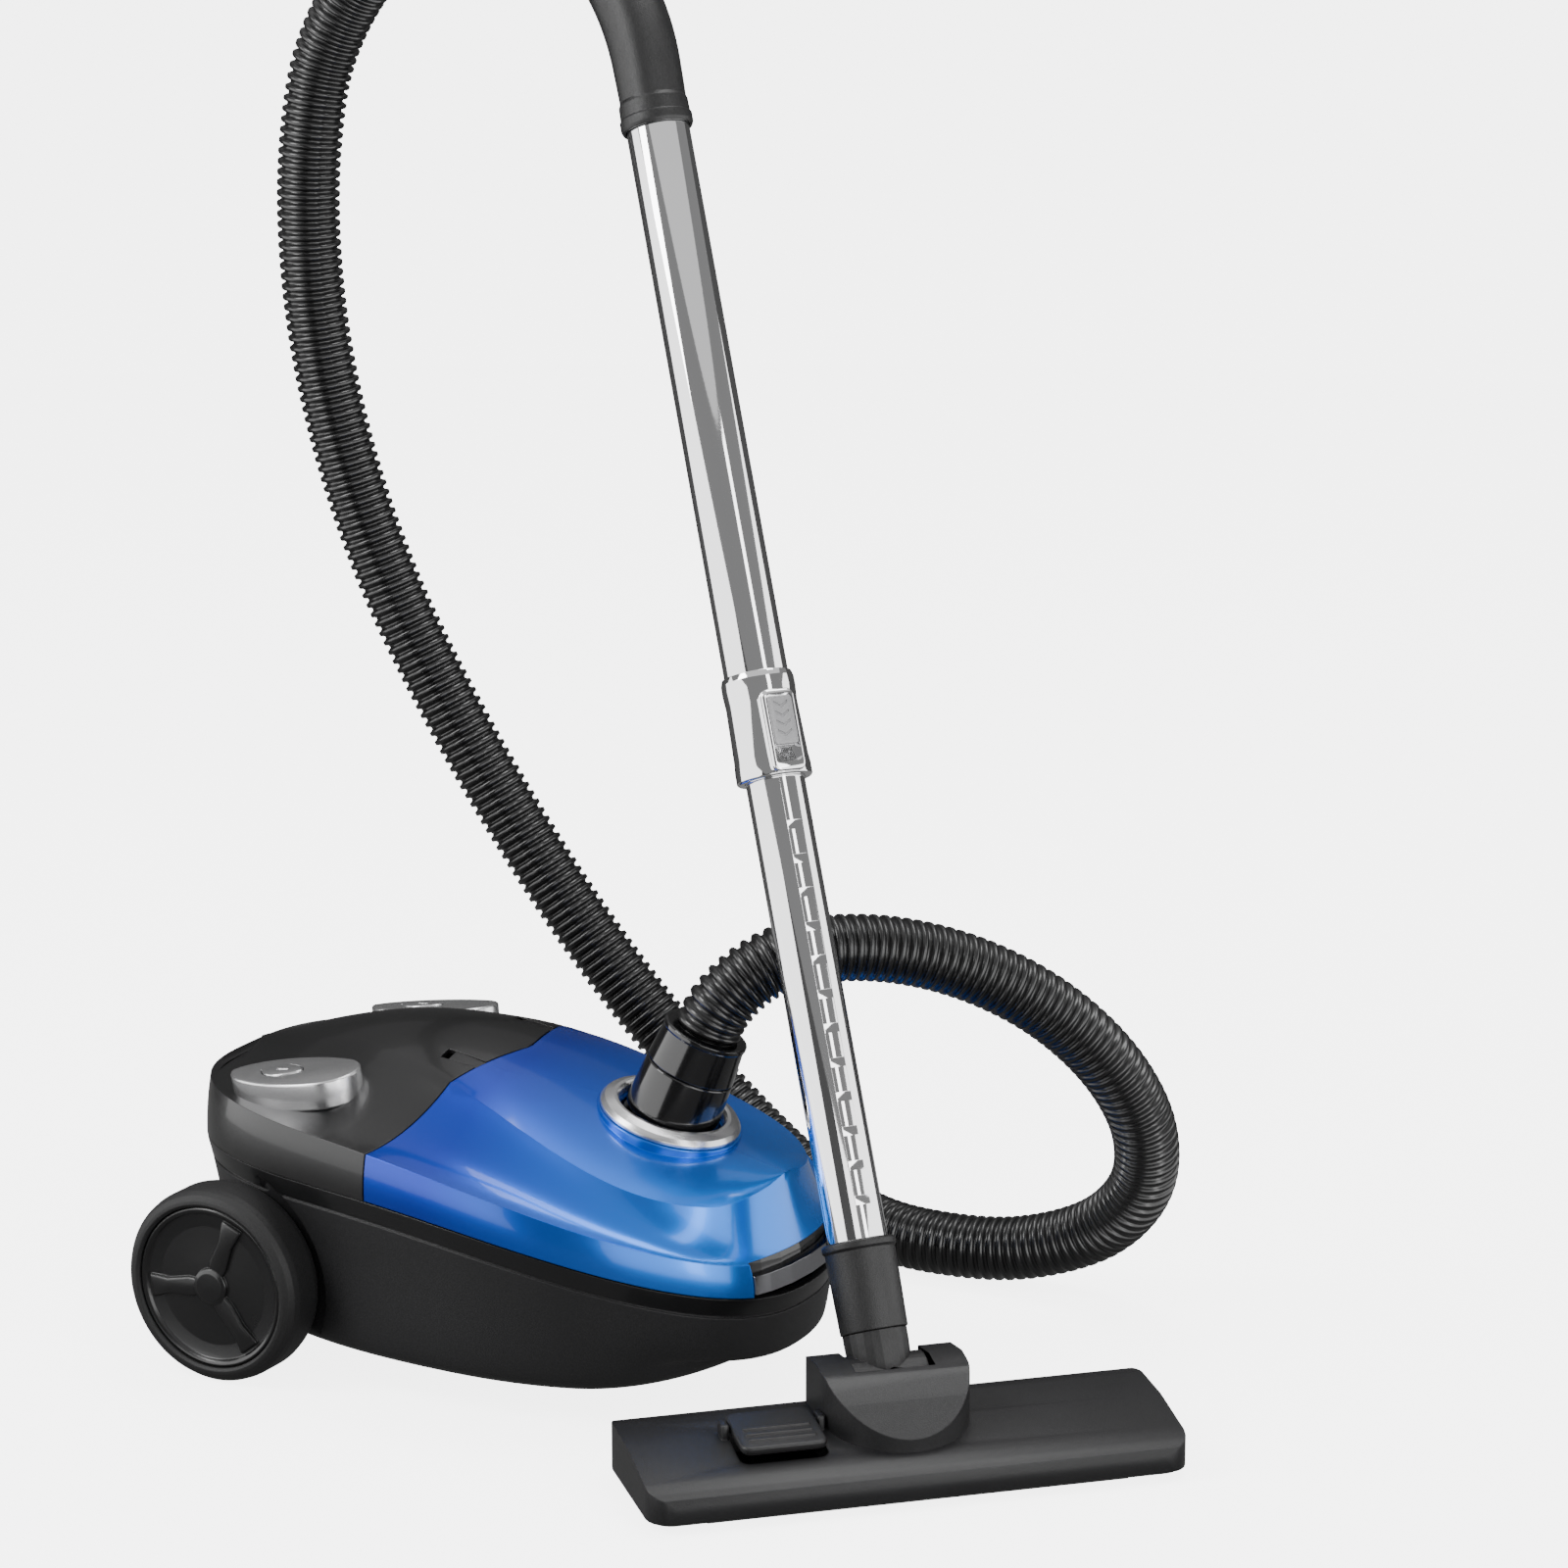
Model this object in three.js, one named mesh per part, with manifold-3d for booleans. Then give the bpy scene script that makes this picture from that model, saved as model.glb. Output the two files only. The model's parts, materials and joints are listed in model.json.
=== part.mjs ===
// Canister vacuum cleaner: wheeled canister, corrugated hose, telescopic wand and floor nozzle.
// Millimetres, +Z up, +X is the canister's front, +Y its left side. The floor is z = 0.
import * as THREE from "three";
import { mergeVertices } from "three/addons/utils/BufferGeometryUtils.js";
import { ParametricGeometry } from "three/addons/geometries/ParametricGeometry.js";
import Module from "manifold-3d";

const wasm = await Module();
wasm.setup();

// ---------------------------------------------------------------- driving dimensions
// General fits
const GAP = 0.3;             // between pieces that seat on each other
const SLIDE_GAP = 0.4;       // between pieces that turn or slide in each other
const FAR = 600;             // reach of cutting blocks, beyond every piece

// Middle of the whole object on the floor, seen from above, without the hose
const ORIGIN_X = 118;
const ORIGIN_Y = -10;

// Canister body: an egg-shaped plan, wider than its rear, with a sloping seam
const REAR_X = -176;         // rear end of the plan
const FRONT_X = 190;         // front end of the plan
const WIDEST_X = 25;         // where the plan is widest
const HALF_WIDTH = 122;      // half of the greatest width
const REAR_TAPER = 10;       // how much narrower each side is near the rear end
const REAR_BLUNT = 2.9;      // superellipse power of the rear end
const FRONT_BLUNT = 2.25;    // superellipse power of the front end
const FLOOR_CLEARANCE = 20;  // underside above the floor
const CHIN_START_X = 95;     // the underside rises in front of this
const CHIN_RISE = 18;        // how far it rises at the front end
const SEAM_Z = 117;          // seam height at the rear
const SEAM_BEND_X = -70;     // the seam curves down in front of this
const SEAM_DROP = 49;        // how far it has fallen at the front end
const SKIRT_REAR = 34;       // height of the upright skirt above the seam, at the rear
const SKIRT_FRONT = 17;      // and at the front
const CREST_X = -45;         // highest place of the dome
const CREST_Z = 184;         // its height
const NOSE_Z = 118;          // height that the dome falls to, far in front
const CREST_SPREAD = 161;    // how gently it falls
const PLATEAU_REAR_X = -165; // rear end of the raised teardrop
const PLATEAU_FRONT_X = 175; // its front end
const PLATEAU_WIDTH = 109;   // scale of its half width
const PLATEAU_CROWN = 10;    // how far its edge lies below its middle line
const PLATEAU_BLEND = 50;    // half width below which that drop fades to nothing
const SHOULDER_DIP = 5;      // hollow of the shoulder between teardrop and skirt
const WALL = 2.6;            // casing wall

// Joint line between the rear cover and the lid, seen from above
const SPLIT_X = 14;          // on the middle line
const SPLIT_SWEEP = 34;      // how far it runs back at the sides
const SPLIT_GAP = 1;         // panel gap
const LID_SEAM_GAP = 0.8;    // lid above the base rim

// Lid hinge, inlet and latch
const HINGE_X = -8;
const HINGE_Z = 168;
const HINGE_PIN_R = 2.5;
const HINGE_ARM_Y = 38;      // middle of each arm
const HINGE_ARM_WIDTH = 8;
const HINGE_LUG_Y = 20;      // middle of each lug that carries the pin
const HINGE_LUG_WIDTH = 6;
const INLET_X = 102;
const CUFF_TILT = THREE.MathUtils.degToRad(22.3);
const CUFF_HEADING = THREE.MathUtils.degToRad(18.4);
const RING_TILT = THREE.MathUtils.degToRad(16);
const RING_R = 39.5;
const RING_HEIGHT = 6.5;
const SOCKET_R = 26;         // outside of the fixed socket under the lid
const SOCKET_BORE_R = 23.4;
const CUFF_R = 26.4;         // cuff at its foot
const CUFF_TOP_R = 23;       // cuff at its mouth
const CUFF_SPLIT = 32;       // joint line of the cuff, above the inlet point
const CUFF_TOP = 56;         // mouth of the cuff
const HOSE_R = 19;
const HOSE_BORE_R = 16;
const LATCH_HALF = 47;       // half width of the latch opening
const LATCH_Z0 = 73;
const LATCH_Z1 = 91;
const LATCH_BAR_HEIGHT = 10;

// Rear wheels and caster
const WHEEL_X = -112;
const WHEEL_R = 55;
const WHEEL_INNER_Y = 106;
const WHEEL_WIDTH = 30;
const TYRE_DEPTH = 9;
const AXLE_R = 8;
const AXLE_BOSS_R = 36;      // round boss on the base behind each rear wheel
const AXLE_BOSS_Y = 103;     // its outer face
const CASTER_X = 112;
const CASTER_R = 14;
const CASTER_WIDTH = 14;
const CASTER_CUP_R = 24;
const CASTER_PIN_R = 2;
const CASTER_TRAIL = 6;       // wheel centre behind the swivel axis

// Buttons on the rear cover
const PAD_X = -95;
const PAD_Y = 72;
const PAD_TOP_Z = 165;
const PAD_LENGTH = 84;
const PAD_WIDTH = 44;
const BUTTON_LENGTH = 27;
const BUTTON_WIDTH = 17;

// Motor, filter, bag and cord reel inside
const BULKHEAD_X = -6;
const BULKHEAD_T = 3;
const MOTOR_Y = -34;
const MOTOR_Z = 84;
const MOTOR_R = 42;
const MOTOR_REAR_X = -126;
const MOTOR_FRONT_X = -20;
const SHAFT_R = 4;
const REEL_X = -80;
const REEL_Y = 46;
const REEL_Z = 82;
const REEL_R = 50;
const REEL_WIDTH = 40;
const REEL_SHAFT_R = 5;

// Wand: local Z runs up the tube from the elbow's pivot
const PIVOT = new THREE.Vector3(264, -55, 38);
const WAND_LEAN = THREE.MathUtils.degToRad(25.03);
const WAND_HEADING = THREE.MathUtils.degToRad(143);
const HANDLE_TURN = THREE.MathUtils.degToRad(25);
const LOWER_R = 16.1;
const UPPER_R = 17.5;
const TUBE_WALL = 0.9;
const SLEEVE_Z0 = 31;
const SLEEVE_Z1 = 79;
const SLEEVE_R = 18.8;
const CLAMP_Z0 = 330;
const CLAMP_Z1 = 388;
const LOWER_TOP_Z = 470;
const UPPER_TOP_Z = 706;
const NOTCH_PITCH = 18.5;
const NOTCH_COUNT = 12;
const HANDLE_Z0 = 697;
const HANDLE_STRAIGHT = 37;
const HANDLE_BEND_R = 138;
const HANDLE_BEND = THREE.MathUtils.degToRad(45);
const GRIP_R = 18.5;

// Floor nozzle: local X is its long side, -Y its front
const NOZZLE_YAW = THREE.MathUtils.degToRad(44.2);
const NOZZLE_HALF = 146;
const NOZZLE_FRONT_Y = -74;
const NOZZLE_BACK_Y = 22;
const NOZZLE_WALL = 2.5;
const DRUM_R = 19;
const DRUM_HALF = 21;
const HOOD_HALF = 40;
const HOOD_FRONT_Y = -56;
const HOOD_BACK_Y = 12;
const HOOD_TOP = 62;
const PEDAL_X = -68;
const PEDAL_Y = -30;
const PEDAL_WIDTH = 46;
const PEDAL_DEPTH = 40;
const NOZZLE_WHEEL_X = 95;
const NOZZLE_WHEEL_Y = 8;
const NOZZLE_WHEEL_R = 9;
const BRUSH_Y = -62;

// Round-piece resolution
const FINE = 32;
const MEDIUM = 24;
const COARSE = 12;

// Middle line of the hose, from the cuff's mouth to the handle's end
const HOSE_POINTS = [
  [122.33, 6.75, 198.82], [123.4, 7.1, 201.5], [128.4, 9.6, 211.8], [136.1, 15.7, 222.7], [144.8, 23.8, 231.2],
  [154.3, 33.5, 237], [168.5, 50, 239.8], [197, 80, 236], [230, 113, 221], [263, 143, 195],
  [289, 170, 158], [299, 193, 117], [290, 211, 77], [261, 221, 44], [214, 219, 24],
  [164, 214, 19.5], [113, 218, 22.5], [62, 228, 41], [12, 233, 74], [-36, 229, 119.5],
  [-82, 223, 174], [-127, 217, 237], [-168, 210, 305], [-203, 204, 374], [-228, 198, 446],
  [-243, 193, 519], [-247, 189, 588], [-243.5, 188.5, 645], [-235.8, 192.7, 690],
  [-212.8, 194.8, 732], [-177.4, 191.9, 764.1], [-133.7, 184.4, 782.5], [-91.8, 174.4, 785.4],
  [-58.2, 164.55, 777.85], [-54.51, 163.33, 776.3],
];

// ---------------------------------------------------------------- solids
function toManifold(geometry) {
  const bare = geometry.clone();
  for (const name of ["normal", "uv", "color"]) bare.deleteAttribute(name);
  const merged = mergeVertices(bare, 1e-4);
  const index = merged.index.array;
  const position = merged.attributes.position;
  const triangles = [];
  let volume = 0;
  const corner = [new THREE.Vector3(), new THREE.Vector3(), new THREE.Vector3()];
  for (let i = 0; i < index.length; i += 3) {
    const [a, b, c] = [index[i], index[i + 1], index[i + 2]];
    if (a === b || b === c || c === a) continue;
    triangles.push(a, b, c);
    [a, b, c].forEach((v, k) => corner[k].fromBufferAttribute(position, v));
    volume += corner[0].dot(corner[1].clone().cross(corner[2]));
  }
  if (volume < 0) triangles.reverse();
  return new wasm.Manifold(new wasm.Mesh({
    numProp: 3,
    vertProperties: new Float32Array(position.array),
    triVerts: new Uint32Array(triangles),
  }));
}

function toGeometry(manifold) {
  const mesh = manifold.getMesh();
  const geometry = new THREE.BufferGeometry();
  geometry.setAttribute("position", new THREE.BufferAttribute(new Float32Array(mesh.vertProperties), 3));
  geometry.setIndex(new THREE.BufferAttribute(new Uint32Array(mesh.triVerts), 1));
  geometry.computeVertexNormals();
  return geometry;
}

const join = (...solids) => solids.reduce((whole, next) => whole.add(next));
const cut = (whole, ...solids) => solids.reduce((left, next) => left.subtract(next), whole);

function block(x0, x1, y0, y1, z0, z1) {
  const geometry = new THREE.BoxGeometry(x1 - x0, y1 - y0, z1 - z0);
  return toManifold(geometry.translate((x0 + x1) / 2, (y0 + y1) / 2, (z0 + z1) / 2));
}

// Turned piece: profile of [radius, height], closed on itself or on the axis; the axis is Z.
function turned(profile, segments = FINE) {
  const points = profile.map(([r, z]) => new THREE.Vector2(r, z));
  return toManifold(new THREE.LatheGeometry(points, segments).rotateX(Math.PI / 2));
}

const disc = (r, z0, z1, segments = FINE) => turned([[0, z0], [r, z0], [r, z1], [0, z1]], segments);
const ring = (inner, outer, z0, z1, segments = FINE) =>
  turned([[inner, z0], [outer, z0], [outer, z1], [inner, z1], [inner, z0]], segments);

function moved(solid, matrix) {
  return toManifold(toGeometry(solid).applyMatrix4(matrix));
}

function placement(position, axis, angle) {
  const turn = new THREE.Quaternion().setFromAxisAngle(axis, angle);
  return new THREE.Matrix4().compose(position, turn, new THREE.Vector3(1, 1, 1));
}

const X_AXIS = new THREE.Vector3(1, 0, 0);
const Y_AXIS = new THREE.Vector3(0, 1, 0);
const at = (x, y, z) => new THREE.Matrix4().makeTranslation(x, y, z);
// Z axis of a turned piece laid along X or Y
const alongX = (solid, x, y, z) => moved(solid, placement(new THREE.Vector3(x, y, z), Y_AXIS, Math.PI / 2));
const alongY = (solid, x, y, z) => moved(solid, placement(new THREE.Vector3(x, y, z), X_AXIS, -Math.PI / 2));

function plate(outline, z0, z1, curveSegments = 10) {
  const geometry = new THREE.ExtrudeGeometry(outline, { depth: z1 - z0, bevelEnabled: false, curveSegments });
  return toManifold(geometry.translate(0, 0, z0));
}

// Side profile in X and Z, extruded across Y
function sideways(points, y0, y1) {
  const outline = new THREE.Shape(points.map(([x, z]) => new THREE.Vector2(x, z)));
  const geometry = new THREE.ExtrudeGeometry(outline, { depth: y1 - y0, bevelEnabled: false });
  return toManifold(geometry.rotateX(Math.PI / 2).translate(0, y1, 0));
}

function roundedRectangle(x0, x1, y0, y1, r) {
  const outline = new THREE.Shape();
  outline.moveTo(x0 + r, y0);
  outline.lineTo(x1 - r, y0);
  outline.absarc(x1 - r, y0 + r, r, -Math.PI / 2, 0);
  outline.lineTo(x1, y1 - r);
  outline.absarc(x1 - r, y1 - r, r, 0, Math.PI / 2);
  outline.lineTo(x0 + r, y1);
  outline.absarc(x0 + r, y1 - r, r, Math.PI / 2, Math.PI);
  outline.lineTo(x0, y0 + r);
  outline.absarc(x0 + r, y0 + r, r, Math.PI, 1.5 * Math.PI);
  return outline;
}

// ---------------------------------------------------------------- body surface
// A point of the plan outline at angle t, pulled towards the widest place by the share k.
function outlinePoint(t, k) {
  const c = Math.cos(t);
  const s = Math.sin(t);
  const power = c > 0 ? FRONT_BLUNT : REAR_BLUNT;
  const reach = c > 0 ? FRONT_X - WIDEST_X : WIDEST_X - REAR_X;
  const x = WIDEST_X + Math.sign(c) * reach * Math.abs(c) ** (2 / power);
  const taper = REAR_TAPER * Math.max(0, (WIDEST_X - x) / 150) ** 1.5;
  const y = (HALF_WIDTH - taper) * Math.sign(s) * Math.abs(s) ** (2 / power);
  return [WIDEST_X + (x - WIDEST_X) * k, y * k];
}

function seamZ(x) {
  const run = Math.max(0, x - SEAM_BEND_X) / (FRONT_X - SEAM_BEND_X);
  return SEAM_Z - SEAM_DROP * run ** 2;
}

function skirtHeight(x) {
  const run = (x - REAR_X) / (FRONT_X - REAR_X);
  return THREE.MathUtils.lerp(SKIRT_REAR, SKIRT_FRONT, Math.min(1, Math.max(0, run)));
}

const crownZ = (x) => NOSE_Z + (CREST_Z - NOSE_Z) * Math.exp(-(((x - CREST_X) / CREST_SPREAD) ** 2));

function plateauHalfWidth(x) {
  const run = (x - PLATEAU_REAR_X) / (PLATEAU_FRONT_X - PLATEAU_REAR_X);
  const p = Math.min(1, Math.max(0, run));
  return PLATEAU_WIDTH * p ** 0.8 * Math.sqrt(1 - p ** 6);
}

function undersideZ(x) {
  const run = Math.max(0, x - CHIN_START_X) / (FRONT_X - CHIN_START_X);
  return FLOOR_CLEARANCE + CHIN_RISE * run ** 2;
}

// Rings of the body from the middle of the underside to the crown line, at angle t.
function bodyRings(t, inset) {
  const k = inset / HALF_WIDTH;
  const edge = (share) => outlinePoint(t, share - k);
  const rings = [];
  const [ux, uy] = edge(0.84);
  rings.push([ux, 0, undersideZ(ux) + inset]);
  rings.push([ux, uy, undersideZ(ux) + inset]);
  for (const [share, lift] of [[0.89, 3], [0.925, 12]]) {
    const [x, y] = edge(share);
    rings.push([x, y, undersideZ(x) + lift + inset * 0.4]);
  }
  for (const [share, drop] of [[0.96, 38], [0.985, 11], [1, 0]]) {
    const [x, y] = edge(share);
    rings.push([x, y, seamZ(x) - drop]);
  }
  const [sx, sy] = edge(0.985);
  const skirtTop = seamZ(sx) + skirtHeight(sx) - inset * 0.5;
  rings.push([sx, sy, skirtTop]);
  const span = (PLATEAU_FRONT_X - PLATEAU_REAR_X) / (FRONT_X - REAR_X);
  const [ox] = outlinePoint(t, 1);
  const px = PLATEAU_REAR_X + (ox - REAR_X) * span;
  const py = Math.sign(Math.sin(t)) * plateauHalfWidth(px) * (1 - k);
  const crown = PLATEAU_CROWN * Math.min(1, plateauHalfWidth(px) / PLATEAU_BLEND);
  const edgeZ = crownZ(px) - crown - inset;
  rings.push([(sx + px) / 2, (sy + py) / 2, (skirtTop + edgeZ) / 2 - SHOULDER_DIP]);
  rings.push([px, py, edgeZ]);
  rings.push([px, py * 0.6, edgeZ + crown * 0.64]);
  rings.push([px, 0, edgeZ + crown]);
  return rings;
}

// The closed body, with every wall moved inwards by the inset.
function bodySolid(inset) {
  const around = 48;
  const last = bodyRings(1, 0).length - 1;
  const surface = (u, v, target) => {
    const turn = Math.round(u * around) % around;
    const ringPoints = bodyRings((turn / around) * 2 * Math.PI, inset);
    const point = ringPoints[Math.round(v * last)];
    const onMiddle = turn === 0 || turn === around / 2;
    target.set(point[0], onMiddle ? 0 : point[1], point[2]);
  };
  return toManifold(new ParametricGeometry(surface, around, last));
}

// Everything below the seam, lifted by the offset.
function belowSeam(offset) {
  const points = [[-FAR, -FAR], [FAR, -FAR], [FAR, seamZ(FRONT_X) + offset]];
  for (let x = FRONT_X + 20; x >= SEAM_BEND_X; x -= 20) points.push([x, seamZ(x) + offset]);
  points.push([-FAR, SEAM_Z + offset]);
  return sideways(points, -FAR, FAR);
}

const splitX = (y) => SPLIT_X - SPLIT_SWEEP * (Math.abs(y) / HALF_WIDTH) ** 1.2;

// Everything in front of the joint line between cover and lid, moved forward by the offset.
function aheadOfSplit(offset) {
  const outline = new THREE.Shape();
  outline.moveTo(FAR, -FAR);
  outline.lineTo(FAR, FAR);
  outline.lineTo(splitX(HALF_WIDTH) + offset, FAR);
  for (let y = HALF_WIDTH; y >= -HALF_WIDTH; y -= HALF_WIDTH / 10) outline.lineTo(splitX(y) + offset, y);
  outline.lineTo(splitX(HALF_WIDTH) + offset, -FAR);
  return plate(outline, -FAR, FAR);
}

const outerBody = bodySolid(0);
const innerBody = bodySolid(WALL);

// ---------------------------------------------------------------- scene graph
const model = new THREE.Group();
model.position.set(-ORIGIN_X, -ORIGIN_Y, 0);

function material(colour, roughness, metalness) {
  return new THREE.MeshStandardMaterial({ color: colour, roughness, metalness });
}

const FINISH = {
  blackSatin: () => material(0x1b1b1c, 0.38, 0),
  blackGloss: () => material(0x0c0c0d, 0.2, 0),
  darkGrey: () => material(0x2c2c2e, 0.55, 0),
  blue: () => material(0x0b4fb8, 0.22, 0.35),
  silver: () => material(0x9a9a9c, 0.32, 0.9),
  chrome: () => material(0xe2e2e4, 0.08, 1),
  rubber: () => material(0x18191b, 0.75, 0),
  steel: () => material(0xa9aaad, 0.3, 1),
  paper: () => material(0xcdbb96, 0.9, 0),
  foam: () => material(0x3d4042, 0.95, 0),
};

function addTo(parent, name, solid, finish) {
  const mesh = new THREE.Mesh(toGeometry(solid), FINISH[finish]());
  mesh.name = name;
  parent.add(mesh);
  return mesh;
}

function frame(position, x = 0, y = 0, z = 0, parent = model) {
  const group = new THREE.Group();
  group.position.copy(position);
  group.rotation.set(x, y, z, "ZYX");
  parent.add(group);
  return group;
}

// ---------------------------------------------------------------- canister casing
const GRILLE = { half: 46, z0: 52, z1: 88 };
const BUSH = { z: 102, r: 8, bore: 4 };
const CASTER_ROOF_Z = 40;

// Hollow beside each rear wheel, where the body is wider than the wheel's inner face
function wheelWell(side, extra) {
  const depth = 80;
  const y0 = side > 0 ? AXLE_BOSS_Y - extra : -(AXLE_BOSS_Y - extra) - depth;
  return alongY(disc(WHEEL_R + 4 + extra, 0, depth), WHEEL_X, y0, WHEEL_R);
}

// Round boss that reaches out from the base to each rear wheel
function axleBoss(side, inset) {
  const far = AXLE_BOSS_Y - inset;
  const ends = side > 0 ? [70, far] : [-far, -70];
  return alongY(disc(AXLE_BOSS_R - inset, ...ends), WHEEL_X, 0, WHEEL_R);
}

function grilleWindow(shrink) {
  return block(-FAR, REAR_X + 60, -GRILLE.half + shrink, GRILLE.half - shrink,
    GRILLE.z0 + shrink, GRILLE.z1 - shrink);
}

function baseShell() {
  const below = cut(outerBody.intersect(belowSeam(0)), wheelWell(1, 0), wheelWell(-1, 0));
  const outside = join(below, axleBoss(1, 0), axleBoss(-1, 0));
  const hollow = cut(innerBody, wheelWell(1, WALL), wheelWell(-1, WALL));
  const inside = join(hollow, axleBoss(1, WALL), axleBoss(-1, WALL));
  const cup = disc(CASTER_CUP_R + WALL, -FAR, CASTER_ROOF_Z).intersect(
    outerBody.translate([-CASTER_X, 0, 0])).translate([CASTER_X, 0, 0]);
  const cupHollow = disc(CASTER_CUP_R, -FAR, CASTER_ROOF_Z - WALL).translate([CASTER_X, 0, 0]);
  const stem = disc(4 + SLIDE_GAP, -FAR, FAR).translate([CASTER_X, 0, 0]);
  const axleHole = alongY(disc(AXLE_R + GAP, -FAR, FAR), WHEEL_X, 0, WHEEL_R);
  const bushHole = alongX(disc(BUSH.r + GAP, -100, 100), REAR_X, 0, BUSH.z);
  return cut(join(cut(outside, inside), cup), cupHollow, stem, axleHole, bushHole, grilleWindow(0));
}

function exhaustGrille() {
  let grille = outerBody.subtract(innerBody).intersect(grilleWindow(GAP));
  const slots = 7;
  const pitch = (2 * GRILLE.half) / slots;
  for (let i = 0; i < slots; i += 1) {
    const y = -GRILLE.half + pitch * (i + 0.5);
    grille = grille.subtract(block(-FAR, 0, y - 3.5, y + 3.5, GRILLE.z0 + 6, GRILLE.z1 - 6));
  }
  return grille;
}

const HINGE = { slotRear: HINGE_X - 10, armRear: HINGE_X - 5.4 };

function hingeSlot(side) {
  const half = HINGE_ARM_WIDTH / 2 + SLIDE_GAP;
  const y = side * HINGE_ARM_Y;
  return block(HINGE.slotRear, FAR, y - half, y + half, HINGE_Z - 20, FAR);
}

function rearCover() {
  const shell = cut(outerBody.subtract(innerBody), belowSeam(GAP), aheadOfSplit(-SPLIT_GAP / 2));
  const half = HINGE_LUG_WIDTH / 2;
  const lugs = [1, -1].map((side) => {
    const y = side * HINGE_LUG_Y;
    return block(HINGE_X - 6, HINGE_X + 6, y - half, y + half, HINGE_Z - 7, HINGE_Z + 8);
  });
  const brakeLug = block(BRAKE.x - 5, BRAKE.x + 5, BRAKE.y1 + SLIDE_GAP, BRAKE.y1 + 4,
    BRAKE.z - 5, CREST_Z - 20).intersect(outerBody);
  const brakePin = alongY(disc(2.2, BRAKE.y0 - 1, BRAKE.y1 + 2, COARSE), BRAKE.x, 0, BRAKE.z);
  const pinHole = alongY(disc(HINGE_PIN_R + GAP, -FAR, FAR, COARSE), HINGE_X, 0, HINGE_Z);
  const whole = join(cut(shell, hingeSlot(1), hingeSlot(-1)), ...lugs, brakeLug, brakePin);
  return cut(whole, pinHole, moved(stemHole(), padMatrix(1)));
}

function hingePin() {
  const half = HINGE_ARM_Y + HINGE_ARM_WIDTH / 2 + 2;
  return alongY(disc(HINGE_PIN_R, -half, half, COARSE), HINGE_X, 0, HINGE_Z);
}

// ---------------------------------------------------------------- lid, inlet and cuff
const inletPoint = new THREE.Vector3(INLET_X, 0, crownZ(INLET_X));
const ringFrameMatrix = placement(inletPoint, Y_AXIS, RING_TILT);
const cuffFrameMatrix = new THREE.Matrix4().makeTranslation(inletPoint)
  .multiply(new THREE.Matrix4().makeRotationZ(CUFF_HEADING))
  .multiply(new THREE.Matrix4().makeRotationY(CUFF_TILT));
const RING_SEAT = 2.4;       // ring seat above the inlet point

function latchOpening(grow) {
  return block(FRONT_X - 60, FAR, -LATCH_HALF - grow, LATCH_HALF + grow, LATCH_Z0 - 20, LATCH_Z1 + grow);
}

function frontLid() {
  const shell = outerBody.subtract(innerBody).subtract(belowSeam(LID_SEAM_GAP));
  const front = shell.intersect(aheadOfSplit(SPLIT_GAP / 2));
  const boss = moved(disc(RING_R + 1, -9, RING_SEAT), ringFrameMatrix);
  const arms = [1, -1].map((side) => {
    const y = side * HINGE_ARM_Y;
    const half = HINGE_ARM_WIDTH / 2;
    const bar = block(HINGE_X, splitX(y) + 22, y - half, y + half, HINGE_Z - 5, FAR);
    const eye = alongY(disc(5.4, y - half, y + half, COARSE), HINGE_X, 0, HINGE_Z);
    return join(bar.intersect(outerBody), eye.intersect(outerBody));
  });
  const bore = moved(disc(SOCKET_R + GAP, -60, 60), cuffFrameMatrix);
  const pinHole = alongY(disc(HINGE_PIN_R + GAP, -FAR, FAR, COARSE), HINGE_X, 0, HINGE_Z);
  const mouth = moved(disc(CUFF_R + 1.8, -1, 60), cuffFrameMatrix);
  return cut(join(front, boss, ...arms), bore, mouth, pinHole, latchOpening(0));
}

function latchFrame() {
  const band = bodySolid(WALL + GAP).subtract(bodySolid(WALL + 3.2));
  return band.intersect(block(FRONT_X - 60, FAR, -LATCH_HALF - 4, LATCH_HALF + 4, LATCH_Z0 + 1, LATCH_Z1 + 4));
}

function latchBar() {
  const band = bodySolid(-1.6).subtract(bodySolid(WALL - GAP));
  const z0 = LATCH_Z0 + 0.8;
  return band.intersect(block(FRONT_X - 50, FAR, -LATCH_HALF + SLIDE_GAP, LATCH_HALF - SLIDE_GAP,
    z0, z0 + LATCH_BAR_HEIGHT));
}

function inletRing() {
  const z0 = RING_SEAT + GAP;
  return turned([
    [29.5, z0], [RING_R, z0], [RING_R, z0 + 2], [RING_R - 1.6, z0 + 4.4],
    [33, z0 + RING_HEIGHT], [31, z0 + RING_HEIGHT], [29.5, z0 + RING_HEIGHT - 2], [29.5, z0],
  ]);
}

function inletSocket() {
  return turned([
    [SOCKET_BORE_R, -26], [SOCKET_R + 5, -26], [SOCKET_R + 5, -23], [SOCKET_R, -23],
    [SOCKET_R, -1], [SOCKET_BORE_R, -1], [SOCKET_BORE_R, -26],
  ]);
}

const inletSeal = () => ring(19, SOCKET_R + 4, -29.4, -26 - GAP, MEDIUM);
const bagPlate = () => cut(block(-34, 34, -34, 34, -32.7, -29.4 - GAP), disc(18, -40, -20, MEDIUM));

function cuffLower() {
  const wall = HOSE_BORE_R + 1;
  return turned([
    [wall, -22], [SOCKET_BORE_R - SLIDE_GAP, -22], [SOCKET_BORE_R - SLIDE_GAP, -1 + SLIDE_GAP],
    [CUFF_R - 0.6, 3], [CUFF_R, 6], [CUFF_R - 1.6, CUFF_SPLIT], [wall, CUFF_SPLIT], [wall, -22],
  ]);
}

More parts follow.
